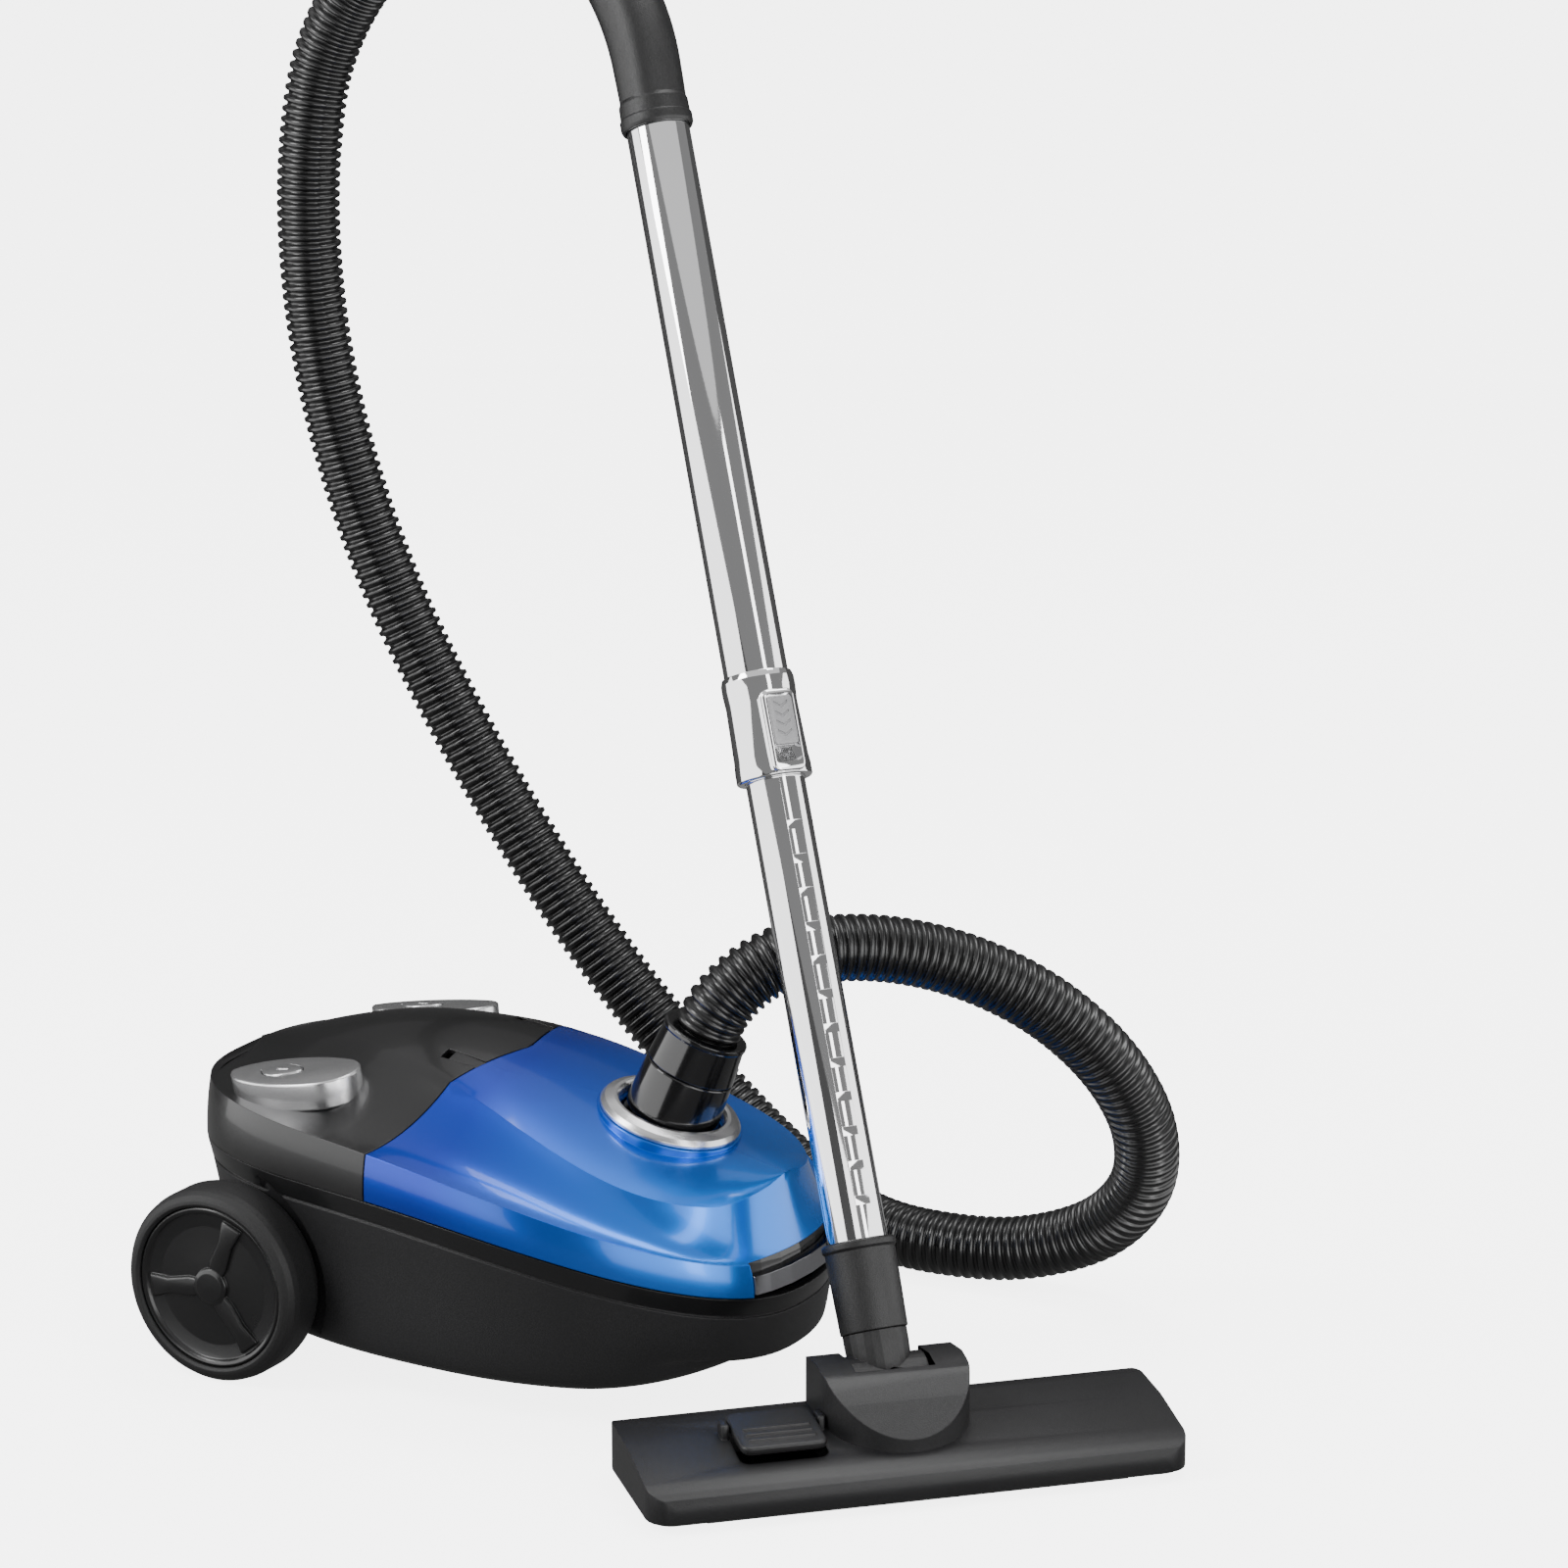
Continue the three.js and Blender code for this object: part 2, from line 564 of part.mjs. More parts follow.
function cuffUpper() {
  const z0 = CUFF_SPLIT + GAP;
  return turned([
    [HOSE_BORE_R, z0], [CUFF_R - 1.6, z0], [CUFF_TOP_R, CUFF_TOP - 3],
    [CUFF_TOP_R + 0.8, CUFF_TOP - 2], [CUFF_TOP_R + 0.8, CUFF_TOP], [HOSE_BORE_R, CUFF_TOP],
    [HOSE_BORE_R, z0],
  ]);
}

// ---------------------------------------------------------------- pads and buttons
function leafOutline() {
  const half = PAD_LENGTH / 2;
  const outline = new THREE.Shape();
  outline.moveTo(-half, 0);
  outline.bezierCurveTo(-half + 6, -PAD_WIDTH * 0.42, 2, -PAD_WIDTH * 0.6, half - 14, -PAD_WIDTH * 0.42);
  outline.bezierCurveTo(half + 3, -PAD_WIDTH * 0.26, half + 3, PAD_WIDTH * 0.26, half - 14, PAD_WIDTH * 0.42);
  outline.bezierCurveTo(2, PAD_WIDTH * 0.6, -half + 6, PAD_WIDTH * 0.42, -half, 0);
  return outline;
}

function buttonOutline(grow) {
  const a = BUTTON_LENGTH / 2 + grow;
  const b = BUTTON_WIDTH / 2 + grow;
  const outline = new THREE.Shape();
  outline.moveTo(-a, 0);
  outline.quadraticCurveTo(-a * 0.45, -b * 1.3, a * 0.3, -b * 0.9);
  outline.quadraticCurveTo(a * 0.9, -b * 0.6, a, 0);
  outline.quadraticCurveTo(a * 0.9, b * 0.6, a * 0.3, b * 0.9);
  outline.quadraticCurveTo(-a * 0.45, b * 1.3, -a, 0);
  return outline;
}

const PAD_PITCH = THREE.MathUtils.degToRad(-8);
const PAD_ROLL = THREE.MathUtils.degToRad(6);
const BUTTON_BOTTOM = -6.5;

function padMatrix(side) {
  const turn = new THREE.Quaternion().setFromEuler(new THREE.Euler(-side * PAD_ROLL, PAD_PITCH, 0, "ZYX"));
  const place = new THREE.Vector3(PAD_X, side * PAD_Y, PAD_TOP_Z);
  return new THREE.Matrix4().compose(place, turn, new THREE.Vector3(1, 1, 1));
}

const stemHole = () => disc(STEM.r + SLIDE_GAP, -60, 0, COARSE).translate([-8, 0, 0]);

function buttonPad(side) {
  const body = moved(bodySolid(-GAP), padMatrix(side).invert());
  const pocket = plate(buttonOutline(SLIDE_GAP), BUTTON_BOTTOM - 3.5, 10).translate([-8, 0, 0]);
  return cut(plate(leafOutline(), -30, 0), body, pocket, stemHole());
}

const padButton = () => plate(buttonOutline(0), BUTTON_BOTTOM, 0.6).translate([-8, 0, 0]);

// The rewind button's stem, which reaches down to the brake lever
const STEM = { r: 2.4, low: -18.6 };
const rewindButton = () => join(padButton(), disc(STEM.r, STEM.low, BUTTON_BOTTOM + 1, COARSE)
  .translate([-8, 0, 0]));

// ---------------------------------------------------------------- wheels and caster
function tyre() {
  const w = WHEEL_WIDTH;
  const inner = WHEEL_R - TYRE_DEPTH;
  return turned([
    [inner, 0], [WHEEL_R - 4, 0], [WHEEL_R - 1, 2], [WHEEL_R, 6], [WHEEL_R, w - 9], [WHEEL_R - 1.2, w - 5],
    [WHEEL_R - 3.5, w - 1.6], [inner + 3, w], [inner, w - 1.5], [inner, 0],
  ]);
}

function hub() {
  const r = WHEEL_R - TYRE_DEPTH - GAP;
  const w = WHEEL_WIDTH;
  return turned([
    [AXLE_R + SLIDE_GAP, 3], [AXLE_R + 4, 3], [AXLE_R + 5, w - 9], [r - 3, w - 9], [r - 3, 4], [r, 4],
    [r, w - 2], [r - 2, w - 1.2], [r - 6, w - 3.4], [r * 0.5, w - 4.6], [0, w - 4.2],
    [0, w - 10], [AXLE_R + SLIDE_GAP, w - 10], [AXLE_R + SLIDE_GAP, 3],
  ]);
}

function axle() {
  const flange = AXLE_BOSS_Y - WALL - GAP - 3 - WHEEL_INNER_Y;
  return turned([
    [0, flange], [AXLE_R + 5, flange], [AXLE_R + 5, flange + 3], [AXLE_R, flange + 3],
    [AXLE_R, WHEEL_WIDTH - 10.6], [0, WHEEL_WIDTH - 10.6],
  ], MEDIUM);
}

function casterFork() {
  const top = CASTER_ROOF_Z - WALL - SLIDE_GAP;
  const half = CASTER_WIDTH / 2 + 0.5;
  const plateDisc = disc(CASTER_CUP_R - 1, top - 3, top, MEDIUM);
  const stem = disc(4, top - 1, CASTER_ROOF_Z + 3, COARSE);
  const cheeks = [1, -1].map((side) => {
    const y = side > 0 ? [half, half + 4] : [-half - 4, -half];
    return block(-CASTER_TRAIL - 6, 4, y[0], y[1], CASTER_R - 5, top - 2);
  });
  const hole = alongY(disc(CASTER_PIN_R + GAP, -FAR, FAR, COARSE), -CASTER_TRAIL, 0, CASTER_R);
  return cut(join(plateDisc, stem, ...cheeks), hole);
}

const casterWheel = () => turned([
  [CASTER_PIN_R + GAP, -CASTER_WIDTH / 2], [CASTER_R - 2, -CASTER_WIDTH / 2], [CASTER_R, -CASTER_WIDTH / 2 + 2],
  [CASTER_R, CASTER_WIDTH / 2 - 2], [CASTER_R - 2, CASTER_WIDTH / 2], [CASTER_PIN_R + GAP, CASTER_WIDTH / 2],
  [CASTER_PIN_R + GAP, -CASTER_WIDTH / 2],
], MEDIUM);

// ---------------------------------------------------------------- inside the canister
const FLOOR_TOP = FLOOR_CLEARANCE + WALL + GAP;
const BRAKE = { x: -70, z: 142.5, y0: 68, y1: 75, rear: 38, front: 30 };

function bulkhead() {
  const outline = new THREE.Shape([
    [-82, FLOOR_TOP], [82, FLOOR_TOP], [98, 40], [100, 118], [76, 150], [-76, 150], [-100, 118], [-98, 40],
  ].map(([y, z]) => new THREE.Vector2(y, z)));
  const geometry = new THREE.ExtrudeGeometry(outline, { depth: BULKHEAD_T, bevelEnabled: false });
  geometry.rotateX(Math.PI / 2).rotateZ(Math.PI / 2).translate(BULKHEAD_X, 0, 0);
  const airHole = alongX(disc(24, -FAR, FAR, MEDIUM), 0, MOTOR_Y, MOTOR_Z);
  return cut(toManifold(geometry), airHole);
}

const premotorFilter = () => block(BULKHEAD_X + BULKHEAD_T + GAP, BULKHEAD_X + BULKHEAD_T + 7,
  MOTOR_Y - 34, MOTOR_Y + 34, MOTOR_Z - 34, MOTOR_Z + 34);

// Rounded pillow between two corners
function pillow(low, high, slices, stacks) {
  const round = 0.45;
  const bend = (v) => Math.sign(v) * Math.abs(v) ** round;
  const surface = (u, v, target) => {
    const turn = Math.round(u * slices) % slices;
    const lon = (turn / slices) * 2 * Math.PI;
    const lat = (v - 0.5) * Math.PI;
    const edge = v === 0 || v === 1 ? 0 : bend(Math.cos(lat));
    const share = [edge * bend(Math.cos(lon)), edge * bend(Math.sin(lon)), bend(Math.sin(lat))];
    target.set(...share.map((s, i) => (low[i] + high[i]) / 2 + (s * (high[i] - low[i])) / 2));
  };
  return toManifold(new ParametricGeometry(surface, slices, stacks));
}

// Full bag with its neck up to the cardboard plate
const dustBag = () => join(pillow([BULKHEAD_X + BULKHEAD_T + 8, -76, CASTER_ROOF_Z + GAP], [112, 76, 110], 20, 10),
  moved(disc(21, -58, -32.7 - GAP, MEDIUM), cuffFrameMatrix));

function motorHousing() {
  const r = MOTOR_R;
  const length = MOTOR_FRONT_X - MOTOR_REAR_X;
  const profile = [
    [SHAFT_R + GAP, 0], [r - 12, 0], [r - 8, 4], [r - 8, length - 34], [r, length - 28], [r, length],
    [18, length], [18, length - 3], [r - 3, length - 3], [r - 3, length - 26],
    [r - 11, length - 32], [r - 11, 6], [r - 14, 3.5], [SHAFT_R + GAP, 3.5], [SHAFT_R + GAP, 0],
  ];
  return cut(turned(profile), block(-5, 5, r - 30, r, 12, 46), block(-5, 5, -r, -r + 30, 12, 46));
}

function motorRotor() {
  const length = MOTOR_FRONT_X - MOTOR_REAR_X;
  return turned([
    [0, -6], [SHAFT_R, -6], [SHAFT_R, 12], [16, 12], [16, 18], [22, 18], [22, 56], [16, 56], [16, 62],
    [SHAFT_R, 62], [SHAFT_R, length - 6], [0, length - 6],
  ], MEDIUM);
}

const impeller = () => turned([
  [SHAFT_R + GAP, 80], [MOTOR_R - 5, 80], [MOTOR_R - 5, 84], [16, 99], [SHAFT_R + GAP, 99],
  [SHAFT_R + GAP, 80],
], MEDIUM);

const motorFrontMount = () => ring(MOTOR_R + GAP, MOTOR_R + 6, 88, 100);

// Rubber saddle that carries the motor's rear on the base floor
function motorRearMount() {
  const outer = MOTOR_R - 8;
  const saddle = block(-20, MOTOR_Z - FLOOR_TOP, -14, 14, 22, 34);
  return cut(saddle, disc(outer + GAP, -10, 200));
}

// Foot under the front mount
const motorFoot = () => cut(block(30, MOTOR_Z - FLOOR_TOP, -26, 26, 88, 100), disc(MOTOR_R + 6 + GAP, 0, 200));

function reelDrum() {
  const half = REEL_WIDTH / 2;
  const bore = REEL_SHAFT_R + SLIDE_GAP;
  return turned([
    [bore, -half], [REEL_R, -half], [REEL_R, -half + 2.5], [26, -half + 2.5], [26, half - 2.5],
    [REEL_R, half - 2.5], [REEL_R, half], [bore, half], [bore, -half],
  ]);
}

function reelStand() {
  const inner = REEL_Y - REEL_WIDTH / 2 - 1;
  const post = sideways([[REEL_X - 16, FLOOR_TOP], [REEL_X + 16, FLOOR_TOP], [REEL_X + 12, REEL_Z + 12],
    [REEL_X - 12, REEL_Z + 12]], inner - 4, inner);
  const foot = block(REEL_X - 20, REEL_X + 20, inner - 18, inner - 2, FLOOR_TOP, FLOOR_TOP + 4);
  const shaft = alongY(disc(REEL_SHAFT_R, inner - 2, inner + REEL_WIDTH + 3, COARSE), REEL_X, 0, REEL_Z);
  return join(post, foot, shaft);
}

function brakeLever() {
  const bar = block(BRAKE.x - BRAKE.rear, BRAKE.x + BRAKE.front, BRAKE.y0, BRAKE.y1,
    BRAKE.z - 2.5, BRAKE.z + 2.5);
  const boss = alongY(disc(5, BRAKE.y0, BRAKE.y1, COARSE), BRAKE.x, 0, BRAKE.z);
  const shoe = block(BRAKE.x + 22, BRAKE.x + 29, REEL_Y + REEL_WIDTH / 2 - 3, BRAKE.y1 - 1, 121, BRAKE.z - 1);
  const hole = alongY(disc(2.2 + GAP, -FAR, FAR, COARSE), BRAKE.x, 0, BRAKE.z);
  return cut(join(bar, boss, shoe), hole);
}

function cordBush() {
  return turned([
    [BUSH.bore, -3], [BUSH.r + 2.5, -3], [BUSH.r + 2.5, -1.5], [BUSH.r, 0], [BUSH.r, 9], [BUSH.bore, 9],
    [BUSH.bore, -3],
  ], COARSE);
}

// ---------------------------------------------------------------- wand and handle
function lowerTube() {
  const tube = ring(LOWER_R - TUBE_WALL, LOWER_R, SLEEVE_Z0 + 12, LOWER_TOP_Z, MEDIUM);
  const notches = [];
  for (let i = 0; i < NOTCH_COUNT; i += 1) {
    const z = SLEEVE_Z1 + 18 + i * NOTCH_PITCH;
    notches.push(block(-LOWER_R - 1, -LOWER_R + 2.2, -6, 6, z, z + 5));
  }
  return cut(tube, ...notches);
}

const upperTube = () => ring(UPPER_R - TUBE_WALL, UPPER_R, CLAMP_Z1 - 40, UPPER_TOP_Z, MEDIUM);

// Chrome clamp round the tube's lower end, with a window for its release slider
function tubeClamp() {
  const body = turned([
    [UPPER_R + GAP, CLAMP_Z0 + 14], [UPPER_R + GAP, CLAMP_Z1], [UPPER_R + 2, CLAMP_Z1],
    [UPPER_R + 2.8, CLAMP_Z1 - 3], [UPPER_R + 1.6, CLAMP_Z1 - 9], [UPPER_R + 2.2, CLAMP_Z0 + 6],
    [UPPER_R + 3.2, CLAMP_Z0 + 4], [UPPER_R + 3.2, CLAMP_Z0], [LOWER_R + SLIDE_GAP, CLAMP_Z0],
    [LOWER_R + SLIDE_GAP, CLAMP_Z0 + 8], [UPPER_R + GAP, CLAMP_Z0 + 14],
  ], MEDIUM);
  const housing = block(-UPPER_R - 6.5, -UPPER_R + 1, -9.5, 9.5, CLAMP_Z0 + 1, CLAMP_Z0 + 46);
  const bore = disc(UPPER_R + GAP, CLAMP_Z0 + 14, CLAMP_Z1 + 1, MEDIUM);
  const lowBore = disc(LOWER_R + SLIDE_GAP, CLAMP_Z0 - 1, CLAMP_Z0 + 15, MEDIUM);
  const pocket = block(-UPPER_R - 8, -UPPER_R - 2.2, -7.5, 7.5, CLAMP_Z0 + 6, CLAMP_Z0 + 43);
  return cut(join(body, housing), bore, lowBore, pocket);
}

function clampSlider() {
  const x0 = -UPPER_R - 7.6;
  const z0 = CLAMP_Z0 + 15;
  return block(x0, -UPPER_R - 2.2 - GAP, -7.5 + SLIDE_GAP, 7.5 - SLIDE_GAP, z0, z0 + 27);
}

const handleTop = HANDLE_Z0 + HANDLE_STRAIGHT;

function handleCurve(fromZ) {
  const path = new THREE.CurvePath();
  const start = new THREE.Vector3(0, 0, fromZ);
  const bendStart = new THREE.Vector3(0, 0, handleTop);
  path.add(new THREE.LineCurve3(start, bendStart));
  const points = [];
  const steps = 12;
  for (let i = 0; i <= steps; i += 1) {
    const a = (i / steps) * HANDLE_BEND;
    points.push(new THREE.Vector3(HANDLE_BEND_R * (1 - Math.cos(a)), 0, handleTop + HANDLE_BEND_R * Math.sin(a)));
  }
  return new THREE.CatmullRomCurve3([start, ...points]);
}

function sweptTube(curve, r, sides, steps) {
  const outline = new THREE.Shape();
  for (let i = 0; i < sides; i += 1) {
    const a = (i / sides) * 2 * Math.PI;
    if (i === 0) outline.moveTo(r * Math.cos(a), r * Math.sin(a));
    else outline.lineTo(r * Math.cos(a), r * Math.sin(a));
  }
  return toManifold(new THREE.ExtrudeGeometry(outline, { steps, extrudePath: curve, bevelEnabled: false }));
}

const HANDLE_END = new THREE.Vector3(
  HANDLE_BEND_R * (1 - Math.cos(HANDLE_BEND)), 0, handleTop + HANDLE_BEND_R * Math.sin(HANDLE_BEND));

function handleEndMatrix() {
  return placement(HANDLE_END, Y_AXIS, HANDLE_BEND);
}

function handleGrip() {
  const grip = sweptTube(handleCurve(HANDLE_Z0 + 10), GRIP_R, 16, 10);
  const bore = sweptTube(handleCurve(HANDLE_Z0 + 10.5), HOSE_BORE_R - 1.5, 12, 10);
  const collar = turned([
    [0, HANDLE_Z0], [GRIP_R + 0.9, HANDLE_Z0], [GRIP_R + 1.6, HANDLE_Z0 + 3], [GRIP_R + 0.6, HANDLE_Z0 + 15],
    [0, HANDLE_Z0 + 15],
  ]);
  const cuff = moved(turned([
    [0, -26], [GRIP_R + 1.2, -26], [HOSE_R + 3.2, -18], [HOSE_R + 3.2, 0], [0, 0],
  ], MEDIUM), handleEndMatrix());
  const tubeSeat = disc(UPPER_R + GAP, HANDLE_Z0 - 1, UPPER_TOP_Z + GAP, MEDIUM);
  const air = disc(HOSE_BORE_R - 1.5, HANDLE_Z0 - 1, HANDLE_Z0 + 24, MEDIUM);
  const mouth = moved(disc(HOSE_BORE_R - 1.5, -28, 1, MEDIUM), handleEndMatrix());
  const whole = cut(join(grip, collar, cuff), bore, tubeSeat, air, mouth);
  return cut(whole, moved(block(-GRIP_R - 4, -GRIP_R + 1.8, -8, 8, -14, 24), suctionMatrix()));
}

// Suction regulator: a little slide on the outside of the bend
const SUCTION_ANGLE = THREE.MathUtils.degToRad(22);

function suctionMatrix() {
  const place = new THREE.Vector3(HANDLE_BEND_R * (1 - Math.cos(SUCTION_ANGLE)), 0,
    handleTop + HANDLE_BEND_R * Math.sin(SUCTION_ANGLE));
  return placement(place, Y_AXIS, SUCTION_ANGLE);
}

const suctionSlider = () => join(
  block(-GRIP_R - 0.6, -GRIP_R + 1.8 - GAP, -8 + SLIDE_GAP, 8 - SLIDE_GAP, -13.6, 10),
  block(-GRIP_R - 2.6, -GRIP_R, -5, 5, 4, 7));

// ---------------------------------------------------------------- floor nozzle
const FLOOR = -PIVOT.z;      // the floor in the nozzle's own frame
const SOLE_Z0 = FLOOR + 3.5;
const SOLE_Z1 = FLOOR + 6.5;

function nozzleProfile(inset) {
  const f = NOZZLE_FRONT_Y + inset;
  const b = NOZZLE_BACK_Y - inset;
  const points = [
    [f + 1, FLOOR + 5], [f, FLOOR + 14], [f + 3, FLOOR + 19], [f + 14, FLOOR + 23], [f + 50, FLOOR + 29.5],
    [b - 16, FLOOR + 31], [b - 4, FLOOR + 28], [b, FLOOR + 21], [b, FLOOR + 5],
  ];
  const outline = new THREE.Shape(points.map(([y, z], i) => {
    const drop = i > 1 && i < 7 ? inset : 0;
    const low = i === 0 || i === 8 ? inset * 2 : 0;
    return new THREE.Vector2(y, z - drop - low);
  }));
  const half = NOZZLE_HALF - inset;
  const geometry = new THREE.ExtrudeGeometry(outline, { depth: 2 * half, bevelEnabled: false });
  return toManifold(geometry.rotateX(Math.PI / 2).rotateZ(Math.PI / 2).translate(-half, 0, 0));
}

const nozzlePlan = (inset, z0, z1) => plate(roundedRectangle(-NOZZLE_HALF + inset, NOZZLE_HALF - inset,
  NOZZLE_FRONT_Y + inset, NOZZLE_BACK_Y - inset, 14 - inset), z0, z1, 5);

function nozzleBody() {
  const outside = nozzleProfile(0).intersect(nozzlePlan(0, -FAR, FAR));
  const inside = nozzleProfile(NOZZLE_WALL).intersect(nozzlePlan(NOZZLE_WALL, -FAR, FAR));
  const skirt = nozzlePlan(NOZZLE_WALL, FLOOR, SOLE_Z1 + GAP);
  const elbowWell = alongX(disc(DRUM_R + 2, -DRUM_HALF - 1, DRUM_HALF + 1), 0, 0, 0);
  const neckWell = block(-DRUM_HALF - 1, DRUM_HALF + 1, -DRUM_R - 2, DRUM_R + 2, -4, 20);
  const x0 = PEDAL_X - PEDAL_WIDTH / 2;
  const x1 = PEDAL_X + PEDAL_WIDTH / 2;
  const y0 = PEDAL_Y - PEDAL_DEPTH / 2;
  const y1 = PEDAL_Y + PEDAL_DEPTH / 2;
  const opening = block(x0 - 0.8, x1 + 0.8, y0 - 0.8, y1 + 0.8, FLOOR + 10, FLOOR + 60);
  const lugs = [x0 - 5, x1 + 1].map((x) =>
    block(x, x + 4, PEDAL_Y + 4, PEDAL_Y + 14, FLOOR + 25, PEDAL_PIN_Z + 4));
  const pinHole = alongX(disc(2 + GAP, x0 - 8, x1 + 8, COARSE), 0, PEDAL_Y + 9, PEDAL_PIN_Z);
  return cut(join(cut(outside, inside, skirt, elbowWell, neckWell, opening), ...lugs), pinHole);
}

const PEDAL_PIN_Z = FLOOR + 33;

function pedal() {
  const x0 = PEDAL_X - PEDAL_WIDTH / 2;
  const x1 = PEDAL_X + PEDAL_WIDTH / 2;
  const y0 = PEDAL_Y - PEDAL_DEPTH / 2;
  const y1 = PEDAL_Y + PEDAL_DEPTH / 2;
  const z = PEDAL_PIN_Z;
  const slab = plate(roundedRectangle(x0, x1, y0, y1, 5), z - 1, z + 3.5, 3);
  const boss = block(x0 + 3, x1 - 3, PEDAL_Y + 5, PEDAL_Y + 13, z - 4, z);
  const pin = alongX(disc(2, x0 - 4.5, x1 + 4.5, COARSE), 0, PEDAL_Y + 9, z);
  const flap = moved(join(slab.translate([0, -PEDAL_Y - 9, -z]), boss.translate([0, -PEDAL_Y - 9, -z])),
    placement(new THREE.Vector3(0, PEDAL_Y + 9, z), X_AXIS, PEDAL_TILT));
  return join(flap, pin);
}

const PEDAL_TILT = THREE.MathUtils.degToRad(7);

const brushSlot = (grow) => [-114 - grow, 114 + grow, BRUSH_Y - 2.5 - grow, BRUSH_Y + 2.5 + grow];

function solePlate() {
  const plateSolid = nozzlePlan(NOZZLE_WALL + GAP, SOLE_Z0, SOLE_Z1);
  const suction = block(-110, 110, -46, -26, SOLE_Z0 - 1, SOLE_Z1 + 1);
  const brush = block(...brushSlot(SLIDE_GAP), SOLE_Z0 - 1, SOLE_Z1 + 1);
  const wheels = [1, -1].map((side) => block(side * NOZZLE_WHEEL_X - 8, side * NOZZLE_WHEEL_X + 8,
    NOZZLE_WHEEL_Y - 10, NOZZLE_WHEEL_Y + 10, SOLE_Z0 - 1, SOLE_Z1 + 1));
  const posts = [1, -1].flatMap((side) => [-12, 8].map((x) =>
    block(side * NOZZLE_WHEEL_X + x, side * NOZZLE_WHEEL_X + x + 4, NOZZLE_WHEEL_Y - 5, NOZZLE_WHEEL_Y + 5,
      SOLE_Z0, FLOOR + NOZZLE_WHEEL_R + 4)));
  const holes = alongX(disc(2 + GAP, -FAR, FAR, COARSE), 0, NOZZLE_WHEEL_Y, FLOOR + NOZZLE_WHEEL_R);
  return cut(join(cut(plateSolid, suction, brush, ...wheels), ...posts), holes);
}

function nozzleWheel() {
  return turned([[0, -11.5], [2, -11.5], [2, -7.4], [NOZZLE_WHEEL_R - 1, -7.4], [NOZZLE_WHEEL_R, -6],
    [NOZZLE_WHEEL_R, 6], [NOZZLE_WHEEL_R - 1, 7.4], [2, 7.4], [2, 11.5], [0, 11.5]], COARSE);
}

const brushStrip = () => block(...brushSlot(0), FLOOR + 0.3, FLOOR + 12);

function hood() {
  const outline = new THREE.Shape();
  outline.moveTo(-HOOD_HALF, HOOD_BACK_Y);
  outline.lineTo(-HOOD_HALF, HOOD_FRONT_Y + HOOD_HALF);
  outline.absarc(0, HOOD_FRONT_Y + HOOD_HALF, HOOD_HALF, Math.PI, 2 * Math.PI);
  outline.lineTo(HOOD_HALF, HOOD_BACK_Y);
  const column = plate(outline, FLOOR + 22, FLOOR + HOOD_TOP, 12);
  const slopeTop = [[-100, FLOOR], [-100, FLOOR + 20], [HOOD_FRONT_Y, FLOOR + 31], [-20, FLOOR + HOOD_TOP - 2],
    [HOOD_BACK_Y + 1, FLOOR + HOOD_TOP - 6], [HOOD_BACK_Y + 1, FLOOR]];
  const wedgeShape = new THREE.Shape(slopeTop.map(([y, z]) => new THREE.Vector2(y, z)));
  const wedge = toManifold(new THREE.ExtrudeGeometry(wedgeShape, { depth: 120, bevelEnabled: false })
    .rotateX(Math.PI / 2).rotateZ(Math.PI / 2).translate(-60, 0, 0));
  const seat = nozzleProfile(-GAP);
  const well = alongX(disc(DRUM_R + 0.8, -DRUM_HALF - 0.8, DRUM_HALF + 0.8), 0, 0, 0);
  const neckSlot = block(-DRUM_HALF - 0.8, DRUM_HALF + 0.8, -DRUM_R - 0.8, 60, 0, 60);
  return cut(column.intersect(wedge), seat, well, neckSlot);
}

// ---------------------------------------------------------------- assembly
function buildCanister() {
  addTo(model, "base_shell", baseShell(), "darkGrey");
  addTo(model, "exhaust_grille", exhaustGrille(), "blackSatin");
  addTo(model, "rear_cover", rearCover(), "blackSatin");
  addTo(model, "lid_hinge_pin", hingePin(), "steel");
  addTo(model, "front_lid", frontLid(), "blue");
  addTo(model, "latch_frame", latchFrame(), "blackSatin");
  addTo(model, "latch_bar", latchBar(), "chrome");
  const bush = frame(new THREE.Vector3(REAR_X, 0, BUSH.z), 0, Math.PI / 2, 0);
  addTo(bush, "cord_bush", cordBush(), "rubber");
}

function buildInlet() {
  const ringFrame = frame(inletPoint, 0, RING_TILT, 0);
  addTo(ringFrame, "inlet_ring", inletRing(), "silver");
  const cuffFrame = frame(inletPoint, 0, CUFF_TILT, CUFF_HEADING);
  addTo(cuffFrame, "inlet_socket", inletSocket(), "blackSatin");
  addTo(cuffFrame, "inlet_seal", inletSeal(), "rubber");
  addTo(cuffFrame, "bag_plate", bagPlate(), "paper");
  addTo(cuffFrame, "cuff_lower", cuffLower(), "blackGloss");
  addTo(cuffFrame, "cuff_upper", cuffUpper(), "blackGloss");
}

function buildPads() {
  for (const [side, name, button] of [[-1, "power", padButton], [1, "rewind", rewindButton]]) {
    const group = frame(new THREE.Vector3(PAD_X, side * PAD_Y, PAD_TOP_Z), -side * PAD_ROLL, PAD_PITCH, 0);
    addTo(group, `${name}_pad`, buttonPad(side), "silver");
    addTo(group, `${name}_button`, button(), "silver");
  }
}

